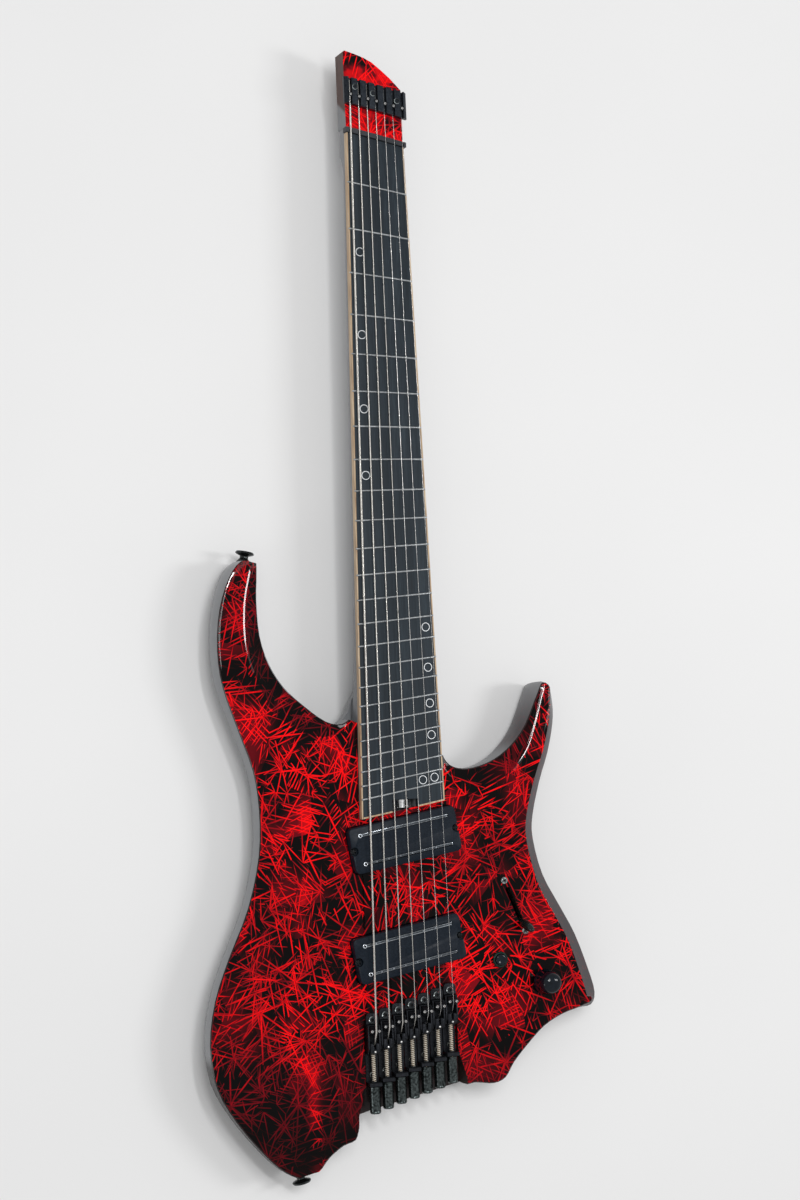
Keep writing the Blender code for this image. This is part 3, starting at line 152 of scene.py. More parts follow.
# every plain finish: two tones, how fine the mottling is, roughness, then metal, bump, coat and shine.
finishes = {
    "pocketWood": ((0.012, 0.007, 0.006), (0.03, 0.018, 0.014), 300, (0.5, 0.7)),
    # painted shade: a near-black for the chamfer along the top's edge and for recess floors
    "paintedShadeBlack": ((0.004, 0.002, 0.002), (0.02, 0.004, 0.005), 400, (0.3, 0.42), 0.0, 0.0, 0.2),
    "nutBone": ((0.018, 0.02, 0.024), (0.035, 0.038, 0.045), 900, (0.35, 0.5)),
    "blackPlate": ((0.008, 0.009, 0.011), (0.02, 0.022, 0.027), 700, (0.26, 0.4), 0.7),
    "lockPlate": ((0.01, 0.013, 0.018), (0.03, 0.036, 0.045), 700, (0.28, 0.42), 0.7),
    "darkScrew": ((0.014, 0.016, 0.018), (0.05, 0.055, 0.06), 900, (0.2, 0.35), 0.95),
    "brightScrew": ((0.5, 0.5, 0.5), (0.75, 0.74, 0.72), 900, (0.16, 0.3), 1.0),
    "threadSteel": ((0.85, 0.8, 0.68), (0.95, 0.92, 0.84), 1200, (0.4, 0.55), 0.6),
    "threadRoot": ((0.1, 0.07, 0.04), (0.2, 0.15, 0.1), 900, (0.3, 0.45), 0.9),
    # the knurl's light mottling is painted glints
    "knurlGlintBlack": ((0.001, 0.002, 0.002), (0.1, 0.12, 0.12), 620, (0.16, 0.28), 0.9),
    "stringPlain": ((0.6, 0.59, 0.57), (0.82, 0.81, 0.79), 1500, (0.2, 0.32), 1.0),
    "fretNickel": ((0.26, 0.28, 0.3), (0.5, 0.52, 0.53), 800, (0.2, 0.34), 1.0),
    "ringSilver": ((0.7, 0.72, 0.74), (0.9, 0.92, 0.94), 900, (0.3, 0.45), 0.2),
    "pickupCover": ((0.003, 0.006, 0.011), (0.009, 0.015, 0.024), 900, (0.3, 0.45), 0.0, 0.12, 0.0, 0.12),
    "bladeChrome": ((0.35, 0.38, 0.42), (0.6, 0.64, 0.68), 600, (0.12, 0.26), 1.0),
    "knobGloss": ((0.001, 0.003, 0.006), (0.004, 0.008, 0.014), 300, (0.05, 0.12), 0.0, 0.0, 0.0, 0.26),
    # painted reflection: the blades' tops darker than their chrome
    "bladeTopShade": ((0.03, 0.036, 0.044), (0.07, 0.08, 0.09), 600, (0.25, 0.4), 0.8),
    "bezelGreen": ((0.008, 0.018, 0.015), (0.02, 0.04, 0.034), 800, (0.22, 0.36), 0.85),
    "leverTeal": ((0.002, 0.005, 0.005), (0.006, 0.014, 0.013), 500, (0.12, 0.24), 0.0, 0.0, 0.2),
    "leverSteel": ((0.12, 0.15, 0.15), (0.3, 0.34, 0.34), 600, (0.2, 0.32), 1.0),
    "strapBlack": ((0.014, 0.016, 0.017), (0.05, 0.055, 0.055), 600, (0.15, 0.28), 0.9),
    "coverMatte": ((0.012, 0.012, 0.013), (0.03, 0.03, 0.032), 900, (0.5, 0.68), 0.0, 0.25),
    "wheelSteel": ((0.4, 0.41, 0.42), (0.7, 0.7, 0.7), 700, (0.18, 0.32), 1.0),
    # painted highlight: a lighter metal on screw rims and switch screw heads, standing for glints
    "screwRimGlint": ((0.3, 0.34, 0.34), (0.5, 0.55, 0.55), 900, (0.14, 0.26), 0.9),
    # painted shade: near-black in key holes, screw slots and the truss wheel's holes
    "socketShade": ((0.003, 0.003, 0.004), (0.012, 0.012, 0.014), 900, (0.5, 0.7)),
}


def plainFinish(name, dark, light, grain, rough, metal=0.0, bump=0.0, coat=0.0, shine=0.25):
    shader, place = startMaterial(name)
    mottling = noise(place, grain, 4.0)
    wear = noise(place, grain * 0.11, 3.0)
    setSockets(shader, {
        "Base Color": twoTone(mottling, dark, light), "Roughness": middleFade(wear, *rough),
        "Metallic": metal, "Specular IOR Level": shine, "Coat Weight": coat, "Coat Roughness": 0.05,
        "Normal": bumpOf(mottling, 0.05 + bump),
    })


for name, values in finishes.items():
    plainFinish(name, *values)

# crackle lacquer

lacquer = {
    # cell, rays, width, shift
    "fans": [
        (64, 13, 1.25, (3, 7)), (45, 12, 1.0, (41, 13)), (31, 11, 0.85, (17, 59)), (21, 9, 0.72, (52, 21)),
        (54, 12, 0.9, (88, 31)),
    ],
    # cell, spacing, length, share, shift
    "needles": [(64, 7.0, 200, 0.09, (5, 90)), (48, 5.0, 150, 0.1, (71, 33))],
    "hatching": [(30, 2.3, 40, 0.2, (31, 77)), (44, 2.7, 60, 0.19, (55, 3))],
    # factor and offset of a ray's length and brightness, and of the sector that is drawn
    "rayLength": (0.66, 0.2), "rayLight": (0.6, 0.4), "sector": (1.5, -1.1),
    "taper": 0.3, "rayWidth": (0.1, 0.62), "sectorTurn": 6.28, "needleTurn": 6.0,
    # the bright streak's course as y and x
    "streak": [(150, -90), (38, -74), (-30, -88), (-98, -97), (-130, -78)], "streakWidth": 8.0,
    # painted shade: where the red darkens towards the tail, the treble edge and the upper horn, from and to,
    # and its share there
    "tailShade": (-0.19, -0.05, 0.08, 1.0), "sideShade": (0.05, 0.12, 1.0, 0.7),
    "hornShade": (0.12, 0.2, 1.0, 0.66),
    # factor and offset of each glow
    "cloudGlow": (0.5, 0.62), "lineGlow": (0.86, 0.12), "fineGlow": (0.4, 0.6), "poolGlow": (0.12, 0.22),
    "streakGlow": 0.5, "mostGlow": 1.2, "groundGlow": 0.85,
    "stops": [(0.0, (0.0008, 0.0002, 0.0003)), (0.2, (0.14, 0.0006, 0.005)), (0.68, (1.0, 0.002, 0.004))],
}
# strength of the lines, weight and refraction of the coat; the carved facets' weaker lines are painted shade
fronts = {
    "frontLacquer": (1.0, 0.35, 1.33), "shadedFacetLacquer": (0.42, 0.35, 1.33), "crestLacquer": (0.8, 1.0, 1.6),
}


def flatCells(points):
    return link("TexVoronoi", {"Vector": points, "Scale": 1.0}, voronoi_dimensions="2D").outputs


def cellsOf(place, shift, size):
    points = vectorCalc("MULTIPLY_ADD", place, (1000.0, 1000.0, 0.0), (*shift, 0.0))
    scaled = link("VectorMath", {0: points, "Scale": 1 / size}, operation="SCALE").outputs[0]
    return points, scaled, flatCells(scaled)


def turnedBy(points, angle):
    return link("VectorRotate", {"Vector": points, "Angle": angle}, rotation_type="Z_AXIS").outputs[0]


def needlesAt(points, near, far):
    return fade(flatCells(points)["Distance"], near, far, 1.0, 0.0)


def fanLayer(place, size, rays, width, shift):
    # each cell has one fan of tapering rays, cut to a sector
    scaled, cells = cellsOf(place, shift, size)[1:]
    away = axesOf(vectorCalc("SUBTRACT", scaled, cells["Position"]))
    chance = chancesOf(cells["Color"])
    angle = calc("ARCTAN2", away["Y"], away["X"])
    spread = timesPlus(angle, rays / math.tau, times(chance["Red"], 90.0))
    spokes = link("TexVoronoi", {"W": spread, "Scale": 1.0}, voronoi_dimensions="1D").outputs
    aside = times(spokes["Distance"], cells["Distance"], size * math.tau / rays)
    ray = chancesOf(spokes["Color"])
    left = calc("SUBTRACT", timesPlus(ray["Green"], *lacquer["rayLength"]), cells["Distance"])
    thin, thick = lacquer["rayWidth"]
    half = fade(left, 0.0, lacquer["taper"], width * thin, width * thick)
    line = fade(calc("SUBTRACT", half, aside), 0.0, width * 0.3)
    line = times(line, timesPlus(ray["Red"], *lacquer["rayLight"]))
    turn = times(chance["Green"], lacquer["sectorTurn"])
    facing = calc("COSINE", calc("SUBTRACT", angle, turn))
    limit = timesPlus(chance["Blue"], *lacquer["sector"])
    sector = fade(calc("SUBTRACT", facing, limit), 0.0, 0.1)
    return times(line, sector, fade(left, 0.0, 0.06))


def strokeLayer(place, size, spacing, length, share, shift):
    # long needles, turned from cell to cell
    points, _, cells = cellsOf(place, shift, size)
    chance = chancesOf(cells["Color"])["Blue"]
    turned = turnedBy(points, times(chance, lacquer["needleTurn"]))
    drawn = vectorCalc("MULTIPLY", turned, (1 / spacing, 1 / length, 0.0))
    return needlesAt(drawn, share * 0.55, share * 1.25)


def hatchLayer(place, size, spacing, length, share, shift):
    # straight-sided cells of fine lines, each fading to black in its own direction
    scaled, cells = cellsOf(place, shift, size)[1:]
    away = vectorCalc("SUBTRACT", scaled, cells["Position"])
    turned = turnedBy(away, times(chancesOf(cells["Color"])["Red"], math.tau))
    stretch = (size / spacing, size / length, 0.0)
    drawn = vectorCalc("MULTIPLY_ADD", turned, stretch, cells["Color"])
    line = needlesAt(drawn, share * 0.5, share * 1.3)
    across = axesOf(turned)
    shade = fade(timesPlus(across["Y"], 0.5, across["X"]), -0.3, 0.45)
    return times(line, shade), shade


def streakOf(parts):
    line = lacquer["streak"]
    middle = line[0][1] * mm
    for (yHigh, xHigh), (yLow, xLow) in zip(line, line[1:]):
        step = fade(parts["Y"], yHigh * mm, yLow * mm, 0.0, (xLow - xHigh) * mm)
        middle = calc("ADD", middle, step)
    aside = calc("ABSOLUTE", calc("SUBTRACT", parts["X"], middle))
    return fade(aside, 0.0, lacquer["streakWidth"] * mm, 1.0, 0.0)


def crackleColor(place, strength=1.0, lift=0.0):
    layers = [fanLayer(place, *values) for values in lacquer["fans"]]
    layers += [strokeLayer(place, *values) for values in lacquer["needles"]]
    strokes = highest(*layers)
    (finer, small), (coarser, large) = [hatchLayer(place, *values) for values in lacquer["hatching"]]
    clouds = fade(noise(place, 9.0, 3.0, 0.55), 0.36, 0.64)
    fine = fade(noise(place, 60.0, 3.0, 0.6), 0.36, 0.64)
    parts = axesOf(place)
    streak = streakOf(parts)
    # the clouds' glow times painted shade towards the tail, the treble edge and the upper horn
    glowAndShade = times(
        timesPlus(clouds, *lacquer["cloudGlow"]), fade(parts["Y"], *lacquer["tailShade"]),
        fade(parts["X"], *lacquer["sideShade"]), fade(parts["Y"], *lacquer["hornShade"]),
    )
    glowAndShade = calc("MINIMUM", timesPlus(streak, lacquer["streakGlow"], glowAndShade), lacquer["mostGlow"])
    uneven = timesPlus(fine, *lacquer["fineGlow"])
    lines = times(strokes, timesPlus(glowAndShade, *lacquer["lineGlow"]), uneven)
    ground = times(highest(finer, coarser), lacquer["groundGlow"], glowAndShade)
    pool = times(small, large, timesPlus(streak, *lacquer["poolGlow"]), glowAndShade)
    total = timesPlus(highest(lines, ground, pool), strength, times(fine, lift))
    return ramp(total, lacquer["stops"]), total


def frontFinish(name, strength, coat, refraction):
    shader, place = startMaterial(name)
    color, total = crackleColor(place, strength)
    setSockets(shader, {
        "Base Color": color, "Roughness": 0.6, "Specular IOR Level": 0.02, "Coat Weight": coat,
        "Coat Roughness": 0.03, "Coat IOR": refraction, "Normal": bumpOf(total, 0.12, 0.0002),
    })


# painted sides and neck, whose grey is a painted reflection, and woods

# the sides' grey is a painted reflection of the lamps in the gloss: lit silver on the bass side, a shaded mauve
# with red flecks on the treble side; the tail colour is painted shade towards the bottom of the lower bout
sides = {
    "silverSheen": ((0.16, 0.165, 0.175), (0.23, 0.235, 0.245)),
    "shadedMauveSheen": ((0.014, 0.009, 0.012), (0.034, 0.022, 0.028)),
    "fleck": (0.13, 0.006, 0.014),
    "tail": (0.006, 0.004, 0.005),
    "rough": (0.3, 0.42),
    # past this height the walls take the painted shade and the shaded sheen
    "wall": (0.001, 0.008),  # height over which the flat back's silver ends
    "shadedSideX": (0.085, 0.1), "shadedSideY": (0.165, 0.12), "tailShadeY": (-0.105, -0.118),
}
neckLook = {
    "brown": ((0.03, 0.01, 0.006), (0.08, 0.028, 0.016)),
    "slant": 0.6, "brownFrom": (0.6225, 0.6265),  # the bare end starts along a slanted line
    "face": {"Z": (0.0462, 0.0464), "Y": (0.575, 0.576)},  # the head's lacquered front
}
woodTones = {
    "ebony": [(0.32, (0.006, 0.01, 0.014)), (0.52, (0.014, 0.022, 0.03)), (0.7, (0.032, 0.046, 0.058))],
    "binding": [(0.3, (0.2, 0.1, 0.045)), (0.5, (0.45, 0.31, 0.18)), (0.72, (0.68, 0.56, 0.4))],
}


def sideSheenPaint():
    shader, place = startMaterial("sideSheenPaint")
    parts = axesOf(place)
    cloudy = noise(place, 60.0, 4.0, 0.6)
    flecks = fade(noise(place, 300.0, 5.0, 0.7), 0.52, 0.66, 0.0, 0.7)
    shadedMauveSheen = blendColor(flecks, twoTone(cloudy, *sides["shadedMauveSheen"]), sides["fleck"])
    wall = fade(parts["Z"], *sides["wall"])
    # painted reflection: the treble side takes the shaded mauve sheen instead of the silver, but not the flat
    # back
    shadedSide = times(fade(parts["X"], *sides["shadedSideX"]), fade(parts["Y"], *sides["shadedSideY"]), wall)
    color = blendColor(shadedSide, twoTone(cloudy, *sides["silverSheen"]), shadedMauveSheen)
    # painted shade: the walls go dark towards the bottom of the lower bout
    tail = times(fade(parts["Y"], *sides["tailShadeY"]), wall)
    setSockets(shader, {
        "Base Color": blendColor(tail, color, sides["tail"]),
        "Roughness": middleFade(cloudy, *sides["rough"]), "Specular IOR Level": 0.2, "Coat Weight": 0.2,
        "Coat Roughness": 0.12, "Normal": bumpOf(noise(place, 900.0, 2.0), 0.04),
    })


def neckPaint():
    shader, place = startMaterial("neckPaint")
    parts = axesOf(place)
    cloudy = noise(place, 70.0, 4.0, 0.6)
    rings = noise(alongGrain(place, 0.08), 700.0, 4.0, 0.6)
    slanted = timesPlus(parts["Z"], neckLook["slant"], parts["Y"])
    bare = fade(slanted, *neckLook["brownFrom"])
    # the neck's grey is a painted reflection of the lamps in the gloss; only the bare end shows the brown wood
    silverSheen = twoTone(cloudy, *sides["silverSheen"])
    color = blendColor(bare, silverSheen, twoTone(rings, *neckLook["brown"]))
    face = times(*(fade(parts[axis], *limits) for axis, limits in neckLook["face"].items()))
    setSockets(shader, {
        "Base Color": blendColor(face, color, crackleColor(place, 1.3, 0.45)[0]),
        "Roughness": middleFade(cloudy, *sides["rough"]), "Specular IOR Level": 0.05, "Coat Weight": 0.3,
        "Coat Roughness": 0.05, "Coat IOR": 1.33, "Normal": bumpOf(rings, 0.04),
    })


def ebonyBoard():
    shader, place = startMaterial("ebonyBoard")
    stretched = alongGrain(place, 0.05)
    pores = noise(stretched, 1400.0, 6.0, 0.7)
    figure = noise(stretched, 160.0, 4.0, 0.6)
    both = timesPlus(pores, 0.5, times(figure, 0.5))
    setSockets(shader, {
        "Base Color": ramp(both, woodTones["ebony"]), "Roughness": middleFade(pores, 0.36, 0.55),
        "Specular IOR Level": 0.18, "Normal": bumpOf(pores, 0.18),
    })


def bindingWood():
    shader, place = startMaterial("bindingWood")
    lines = noise(alongGrain(place, 0.04), 900.0, 5.0, 0.65)
    setSockets(shader, {
        "Base Color": ramp(lines, woodTones["binding"]), "Roughness": middleFade(lines, 0.4, 0.55),
        "Normal": bumpOf(lines, 0.1),
    })


def woundString():
    shader, place = startMaterial("woundString")
    sockets = {"Vector": place, "Scale": 500.0, "Distortion": 0.2}
    turns = link("TexWave", sockets, bands_direction="Y").outputs["Fac"]
    setSockets(shader, {
        "Base Color": ramp(turns, [(0.1, (0.32, 0.3, 0.27)), (0.7, (0.74, 0.72, 0.68))]), "Metallic": 1.0,
        "Roughness": middleFade(noise(place, 300.0), 0.24, 0.38), "Normal": bumpOf(turns, 0.5),
    })


for name, values in fronts.items():
    frontFinish(name, *values)
sideSheenPaint()
neckPaint()
ebonyBoard()
bindingWood()
woundString()
print("materials made")

# mesh helpers

numbers = range(1, 8)
socketFinishes = ["darkScrew", "socketShade", "screwRimGlint"]
pinFinishes = ["brightScrew", "socketShade", "brightScrew"]
crossFinishes = ["darkScrew", "socketShade"]
# as shares of a screw's radius or height
screwShape = {
    "socketDepth": 0.7, "flat": 0.82, "chamfer": 0.2,
    "skirt": 0.4, "slotHalf": 0.16, "slotReach": 0.62, "slotDepth": 0.5,
}


def objectOf(name, data):
    made = bpy.data.objects.new(name, data)
    bpy.context.collection.objects.link(made)
    return made


def solidOf(name, mesh, materials):
    data = bpy.data.meshes.new(name)
    mesh.to_mesh(data)
    mesh.free()
    for material in materials:
        data.materials.append(material)
    return objectOf(name, data)


def addPiece(name, mesh, finishNames, body="guitar", smooth=35, replaced=(), bevel=0.0):
    piece = solidOf(name, mesh, [paint[finishName] for finishName in finishNames])
    piece.data.shade_smooth()
    piece.data.set_sharp_from_angle(angle=math.radians(smooth))
    if bevel:
        rounding = piece.modifiers.new("Rounding", "BEVEL")
        rounding.width = bevel * mm
        rounding.segments = 2
        rounding.angle_limit = math.radians(35)
        rounding.harden_normals = True
    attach(piece, body)
    if replaced:
        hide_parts(*replaced)
    return piece


def closeUp(mesh):
    bmesh.ops.remove_doubles(mesh, verts=mesh.verts, dist=1e-6)
    bmesh.ops.recalc_face_normals(mesh, faces=mesh.faces)
    return mesh


def cadCopy(node, flatten=0.8):
    mesh = bmesh.new()
    mesh.from_mesh(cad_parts[node].data)
    for layer in list(mesh.loops.layers.uv):
        mesh.loops.layers.uv.remove(layer)
    bmesh.ops.remove_doubles(mesh, verts=mesh.verts, dist=2e-6)
    bmesh.ops.dissolve_limit(mesh, angle_limit=math.radians(flatten), verts=mesh.verts, edges=mesh.edges)
    return mesh


def cadPiece(name, node, finishName, bevel=0.0, smooth=35):
    addPiece(name, cadCopy(node), [finishName], "guitar", smooth, [node], bevel)


def only(geometry, kind):
    return [item for item in geometry if isinstance(item, getattr(bmesh.types, kind))]


def carried(order, fresh):
    # each new vertex keeps the number of the one that it was grown from
    pairs = [(vert, edge.other_vert(vert)) for vert in fresh for edge in vert.link_edges]
    return {vert: order[other] for vert, other in pairs if other in order}


def spun(mesh, profile, steps):
    # turns a line around Z; faces made before are tagged, and the new ones come back untagged
    line = [mesh.verts.new((reach, 0, rise)) for reach, rise in profile]
    edges = [mesh.edges.new(pair) for pair in zip(line, line[1:])]
    bmesh.ops.spin(
        mesh, geom=line + edges, cent=(0, 0, 0), axis=(0, 0, 1), angle=math.tau, steps=steps, use_merge=True
    )
    faces = [face for face in mesh.faces if not face.tag]
    return faces, list({vert for face in faces for vert in face.verts})


def settle(mesh, faces, verts, place):
    for face in faces:
        face.tag = True
    bmesh.ops.transform(mesh, matrix=place, verts=verts)


def turnedOn(mesh, profile, place, steps=32):
    faces, verts = spun(mesh, [(reach * mm, rise * mm) for reach, rise in profile], steps)
    settle(mesh, faces, verts, place)


def turnedPiece(name, profile, place, steps, finishName, body, smooth=35, replaced=()):
    mesh = bmesh.new()
    turnedOn(mesh, profile, place, steps)
    addPiece(name, closeUp(mesh), [finishName], body, smooth, replaced)


def socketScrew(mesh, place, radius, height, socket, steps=24):
    # a round head with a six-sided key hole
    radius, height, socket = radius * mm, height * mm, socket * mm
    floor = height - height * screwShape["socketDepth"]
    profile = [
        (0, floor), (socket, floor), (socket, height), (radius * screwShape["flat"], height),
        (radius, height - radius * screwShape["chamfer"]), (radius, 0), (0, 0),
    ]
    faces, verts = spun(mesh, profile, steps)
    for face in faces:
        reaches = [math.hypot(vert.co.x, vert.co.y) for vert in face.verts]
        # the key hole is painted shade
        if max(reaches) < socket * 1.01:
            face.material_index = 1
        # the rim's chamfer is painted highlight
        elif min(reaches) > radius * 0.8 and max(vert.co.z for vert in face.verts) > height * 0.99:
            face.material_index = 2
    for vert in verts:
        reach = math.hypot(vert.co.x, vert.co.y)
        if abs(reach - socket) < socket * 0.01:
            around = math.atan2(vert.co.y, vert.co.x) % math.radians(60) - math.radians(30)
            share = math.cos(math.radians(30)) / math.cos(around)
            vert.co.xy *= share
    settle(mesh, faces, verts, place)


def crossScrew(mesh, place, radius, height, steps=24):
    # a domed head with a crossed slot
    radius, height = radius * mm, height * mm
    angles = [math.radians(degrees) for degrees in range(0, 91, 18)]
    crown = [(radius * math.sin(angle), height * math.cos(angle)) for angle in angles]
    skirt = -height * screwShape["skirt"]
    faces, verts = spun(mesh, crown + [(radius, skirt), (0, skirt)], steps)
    half, reach = radius * screwShape["slotHalf"], radius * screwShape["slotReach"]
    for vert in verts:
        x, y, z = vert.co
        if z > 0 and min(abs(x), abs(y)) < half and max(abs(x), abs(y)) < reach:
            vert.co.z -= height * screwShape["slotDepth"]
    for face in faces:
        # the middle of the head, with the slot, is painted shade
        if face.calc_center_median().length < radius * 0.5:
            face.material_index = 1
    settle(mesh, faces, verts, place)


def screwPiece(name, shape, places, sizes, finishNames):
    mesh = bmesh.new()
    for place in places:
        shape(mesh, place, *sizes)
    addPiece(name, closeUp(mesh), finishNames)


def along(x, y, z, axis="Z", degrees=0):
    return Matrix.Translation((x * mm, y * mm, z * mm)) @ Matrix.Rotation(math.radians(degrees), 4, axis)


def coneOn(mesh, sides, lower, upper, depth, place):
    bmesh.ops.create_cone(
        mesh, cap_ends=True, segments=sides, radius1=lower * mm, radius2=upper * mm, depth=depth * mm,
        matrix=place,
    )


def towardTail(x, y, z):
    return along(x, y, z, "X", 90)


# where the strings and frets run

scale = {
    "bass": 673.1, "treble": 647.7, "square": 8.3, "nutSpread": 42.0, "bridgeSpread": 63.0, "bridgeY": -84.0,
    "frets": 24, "widthNut": 45.8, "widthLast": 66.6, "tail": 14.5, "radius": 400.0, "under": 42.0, "top": 48.0,
}


def bridgeLine(x):
    fan = (scale["bass"] - scale["treble"]) * 2 ** (-scale["square"] / 12)
    return scale["bridgeY"] + fan * x / scale["bridgeSpread"]


def fretEnd(fret, side):
    length = scale["bass"] if side < 0 else scale["treble"]
    share = 2 ** (-fret / 12)
    x = side * (scale["bridgeSpread"] + (scale["nutSpread"] - scale["bridgeSpread"]) * share) / 2
    return x, bridgeLine(side * scale["bridgeSpread"] / 2) + length * share


def fretLine(fret, x):
    (xBass, yBass), (xTreble, yTreble) = fretEnd(fret, -1), fretEnd(fret, 1)
    return yBass + (yTreble - yBass) * (x - xBass) / (xTreble - xBass)


def boardHalf(y):
    yNut, yLast = fretLine(0, 0), fretLine(scale["frets"], 0)
    return (scale["widthNut"] + (scale["widthLast"] - scale["widthNut"]) * (yNut - y) / (yNut - yLast)) / 2


def boardEdge(fret, side, past=0.0):
    y = fretLine(fret, 0) - past
    for _ in range(8):
        x = side * boardHalf(y)
        y = fretLine(fret, x) - past
    return Vector((x, y))


def camber(x):
    return math.sqrt(scale["radius"] ** 2 - x ** 2) - scale["radius"]


# body

bodyFinishes = ["frontLacquer", "sideSheenPaint", "paintedShadeBlack", "pocketWood", "shadedFacetLacquer", "crestLacquer"]
carved = {
    "top": 41.0,
    "crestWidth": 2.2, "crestSteps": 6, "crestEdge": (2.5, 14.0), "crestSlope": (0.72, 0.9985),
    # the cavities whose walls are bare wood: middle, reach, lowest wall; and their half width
    "pockets": [((0, 44), 52, 20), ((0, -38), 52, 20), ((0, -108), 50, 24.1), ((0, -135), 58, 24.1)],
    "pocketHalf": 60,
    "controls": ((93, -38), 62),
    # heights, slopes and areas that part the finishes
    "ceiling": 38.0, "hollow": 20.0, "frontFrom": 33.0, "flatFrom": 40.97, "facetBelow": 40.6,
    "wall": 0.6, "edgeSlope": 0.72, "flatSlope": 0.9995, "floorSlope": 0.9,
    "facetArea": 3e-6, "floorBelow": 32.0, "heelFrom": 60.0,
    # how far along the horns the crest is polished
    "polished": {"tip": 236, "upper": 172, "lower": 90},
}
ferrules = {
    "at": [(-15, 84), (15, 84), (-15, 126), (15, 126)], "radius": 7.0, "depth": 3.0,
    "cup": [(3.4, 2.9), (3.4, 1.4), (5.6, 0.9), (6.3, 0.05), (6.9, 0.05), (6.9, 2.9), (3.4, 2.9)],
    "bolt": (3.2, 2.2, 1.6), "boltAt": 2.8,  # radius, height, key hole
}


def facesInto(face, spot, reach):
    toward = Vector(spot) * mm - face.calc_center_median().xy
    return toward.length < reach * mm and face.normal.xy.dot(toward) > 0


def isHollow(face, centre):
    for spot, reach, lowest in carved["pockets"]:
        if centre.z > lowest and abs(centre.x) < carved["pocketHalf"] and facesInto(face, spot, reach):
            return True
    return facesInto(face, *carved["controls"])


def isPolished(face, centre):
    inner = (face.normal.x > 0) == (centre.x < 0)
    horn = "upper" if centre.x < 0 else "lower"
    return centre.y > carved["polished"]["tip"] or inner and centre.y > carved["polished"][horn]


def bodyFinish(face):
    centre = face.calc_center_median() / mm
    lowest = min(vert.co.z for vert in face.verts) / mm
    up = face.normal.z
    if up < -carved["wall"]:
        if centre.z > carved["ceiling"]:
            return "frontLacquer"
        return "pocketWood" if centre.z > carved["hollow"] else "sideSheenPaint"
    if abs(up) < carved["wall"] and isHollow(face, centre):
        return "pocketWood"
    if lowest > carved["frontFrom"]:
        # the top's steep edge chamfer is painted as a dark shade line
        if up < carved["edgeSlope"]:
            return "paintedShadeBlack"
        if up > carved["flatSlope"] or centre.z > carved["flatFrom"]:
            return "frontLacquer"
        # carved facets get a darker lacquer: painted shade
        if centre.z < carved["facetBelow"] and face.calc_area() > carved["facetArea"]:
            return "shadedFacetLacquer"
        return "crestLacquer" if isPolished(face, centre) else "frontLacquer"
    # the floors of recesses below the top are painted shade black
    if up > carved["floorSlope"] and centre.y <= carved["heelFrom"] and centre.z < carved["floorBelow"]:
        return "paintedShadeBlack"
    return "sideSheenPaint"


def isTop(face):
    return face.normal.z > 0.9999 and abs(face.calc_center_median().z - carved["top"] * mm) < 0.02 * mm


def roundCrest(mesh):
    shortest, longest = carved["crestEdge"]
    steepest, flattest = carved["crestSlope"]
    crest = []
    for edge in mesh.edges:
        if len(edge.link_faces) != 2 or not shortest * mm < edge.calc_length() < longest * mm:
            continue
        tops = [isTop(face) for face in edge.link_faces]
        slopes = [face.normal.z for face in edge.link_faces]
        if tops[0] != tops[1] and steepest < min(slopes) < flattest:
            crest.append(edge)
    bmesh.ops.bevel(
        mesh, geom=crest, offset=carved["crestWidth"] * mm, segments=carved["crestSteps"], profile=0.5,
        affect="EDGES", material=-1, clamp_overlap=False, loop_slide=False,
    )
    # the flat top is filled anew between its edges
    top = carved["top"] * mm
    level = [face for face in mesh.faces if all(abs(vert.co.z - top) < 0.004 * mm for vert in face.verts)]
    bmesh.ops.delete(mesh, geom=level, context="FACES")
    bmesh.ops.triangle_fill(mesh, edges=[edge for edge in mesh.edges if edge.is_boundary], normal=(0, 0, 1))


def markSharp(piece, degrees):
    mesh = bmesh.new()
    mesh.from_mesh(piece.data)
    for edge in mesh.edges:
        if len(edge.link_faces) != 2:
            continue
        tops = [isTop(face) for face in edge.link_faces]
        edge.smooth = edge.calc_face_angle(0) < math.radians(degrees) and tops[0] == tops[1]
    for face in mesh.faces:
        face.smooth = True
    mesh.to_mesh(piece.data)
    mesh.free()


def carve(target, cutter):
    other = solidOf("cutter", cutter, target.data.materials)
    cut = target.modifiers.new("Cut", "BOOLEAN")
    cut.operation = "DIFFERENCE"
    cut.solver = "EXACT"
    cut.object = other
    result = bpy.data.meshes.new_from_object(target.evaluated_get(bpy.context.evaluated_depsgraph_get()))
    target.modifiers.clear()
    target.data = result
    bpy.data.objects.remove(other)


def makeBody():
    mesh = cadCopy("body", 0.2)
    roundCrest(mesh)
    for face in mesh.faces:
        face.material_index = bodyFinishes.index(bodyFinish(face))
    body = addPiece("carvedBody", mesh, bodyFinishes, smooth=24, replaced=["body"])
    holes = bmesh.new()
    radius, depth = ferrules["radius"], ferrules["depth"]
    for x, y in ferrules["at"]:
        coneOn(holes, 32, radius, radius, 2 * depth, along(x, y, 0))
    for face in holes.faces:
        face.material_index = bodyFinishes.index("pocketWood")
    carve(body, holes)
    markSharp(body, 24)
    cups = bmesh.new()
    for x, y in ferrules["at"]:
        turnedOn(cups, ferrules["cup"], along(x, y, 0))
    addPiece("boltCups", closeUp(cups), ["darkScrew"])
    places = [along(x, y, ferrules["boltAt"], "X", 180) for x, y in ferrules["at"]]
    screwPiece("neckBolts", socketScrew, places, ferrules["bolt"], socketFinishes)


makeBody()
print("body done")

# neck, board, frets

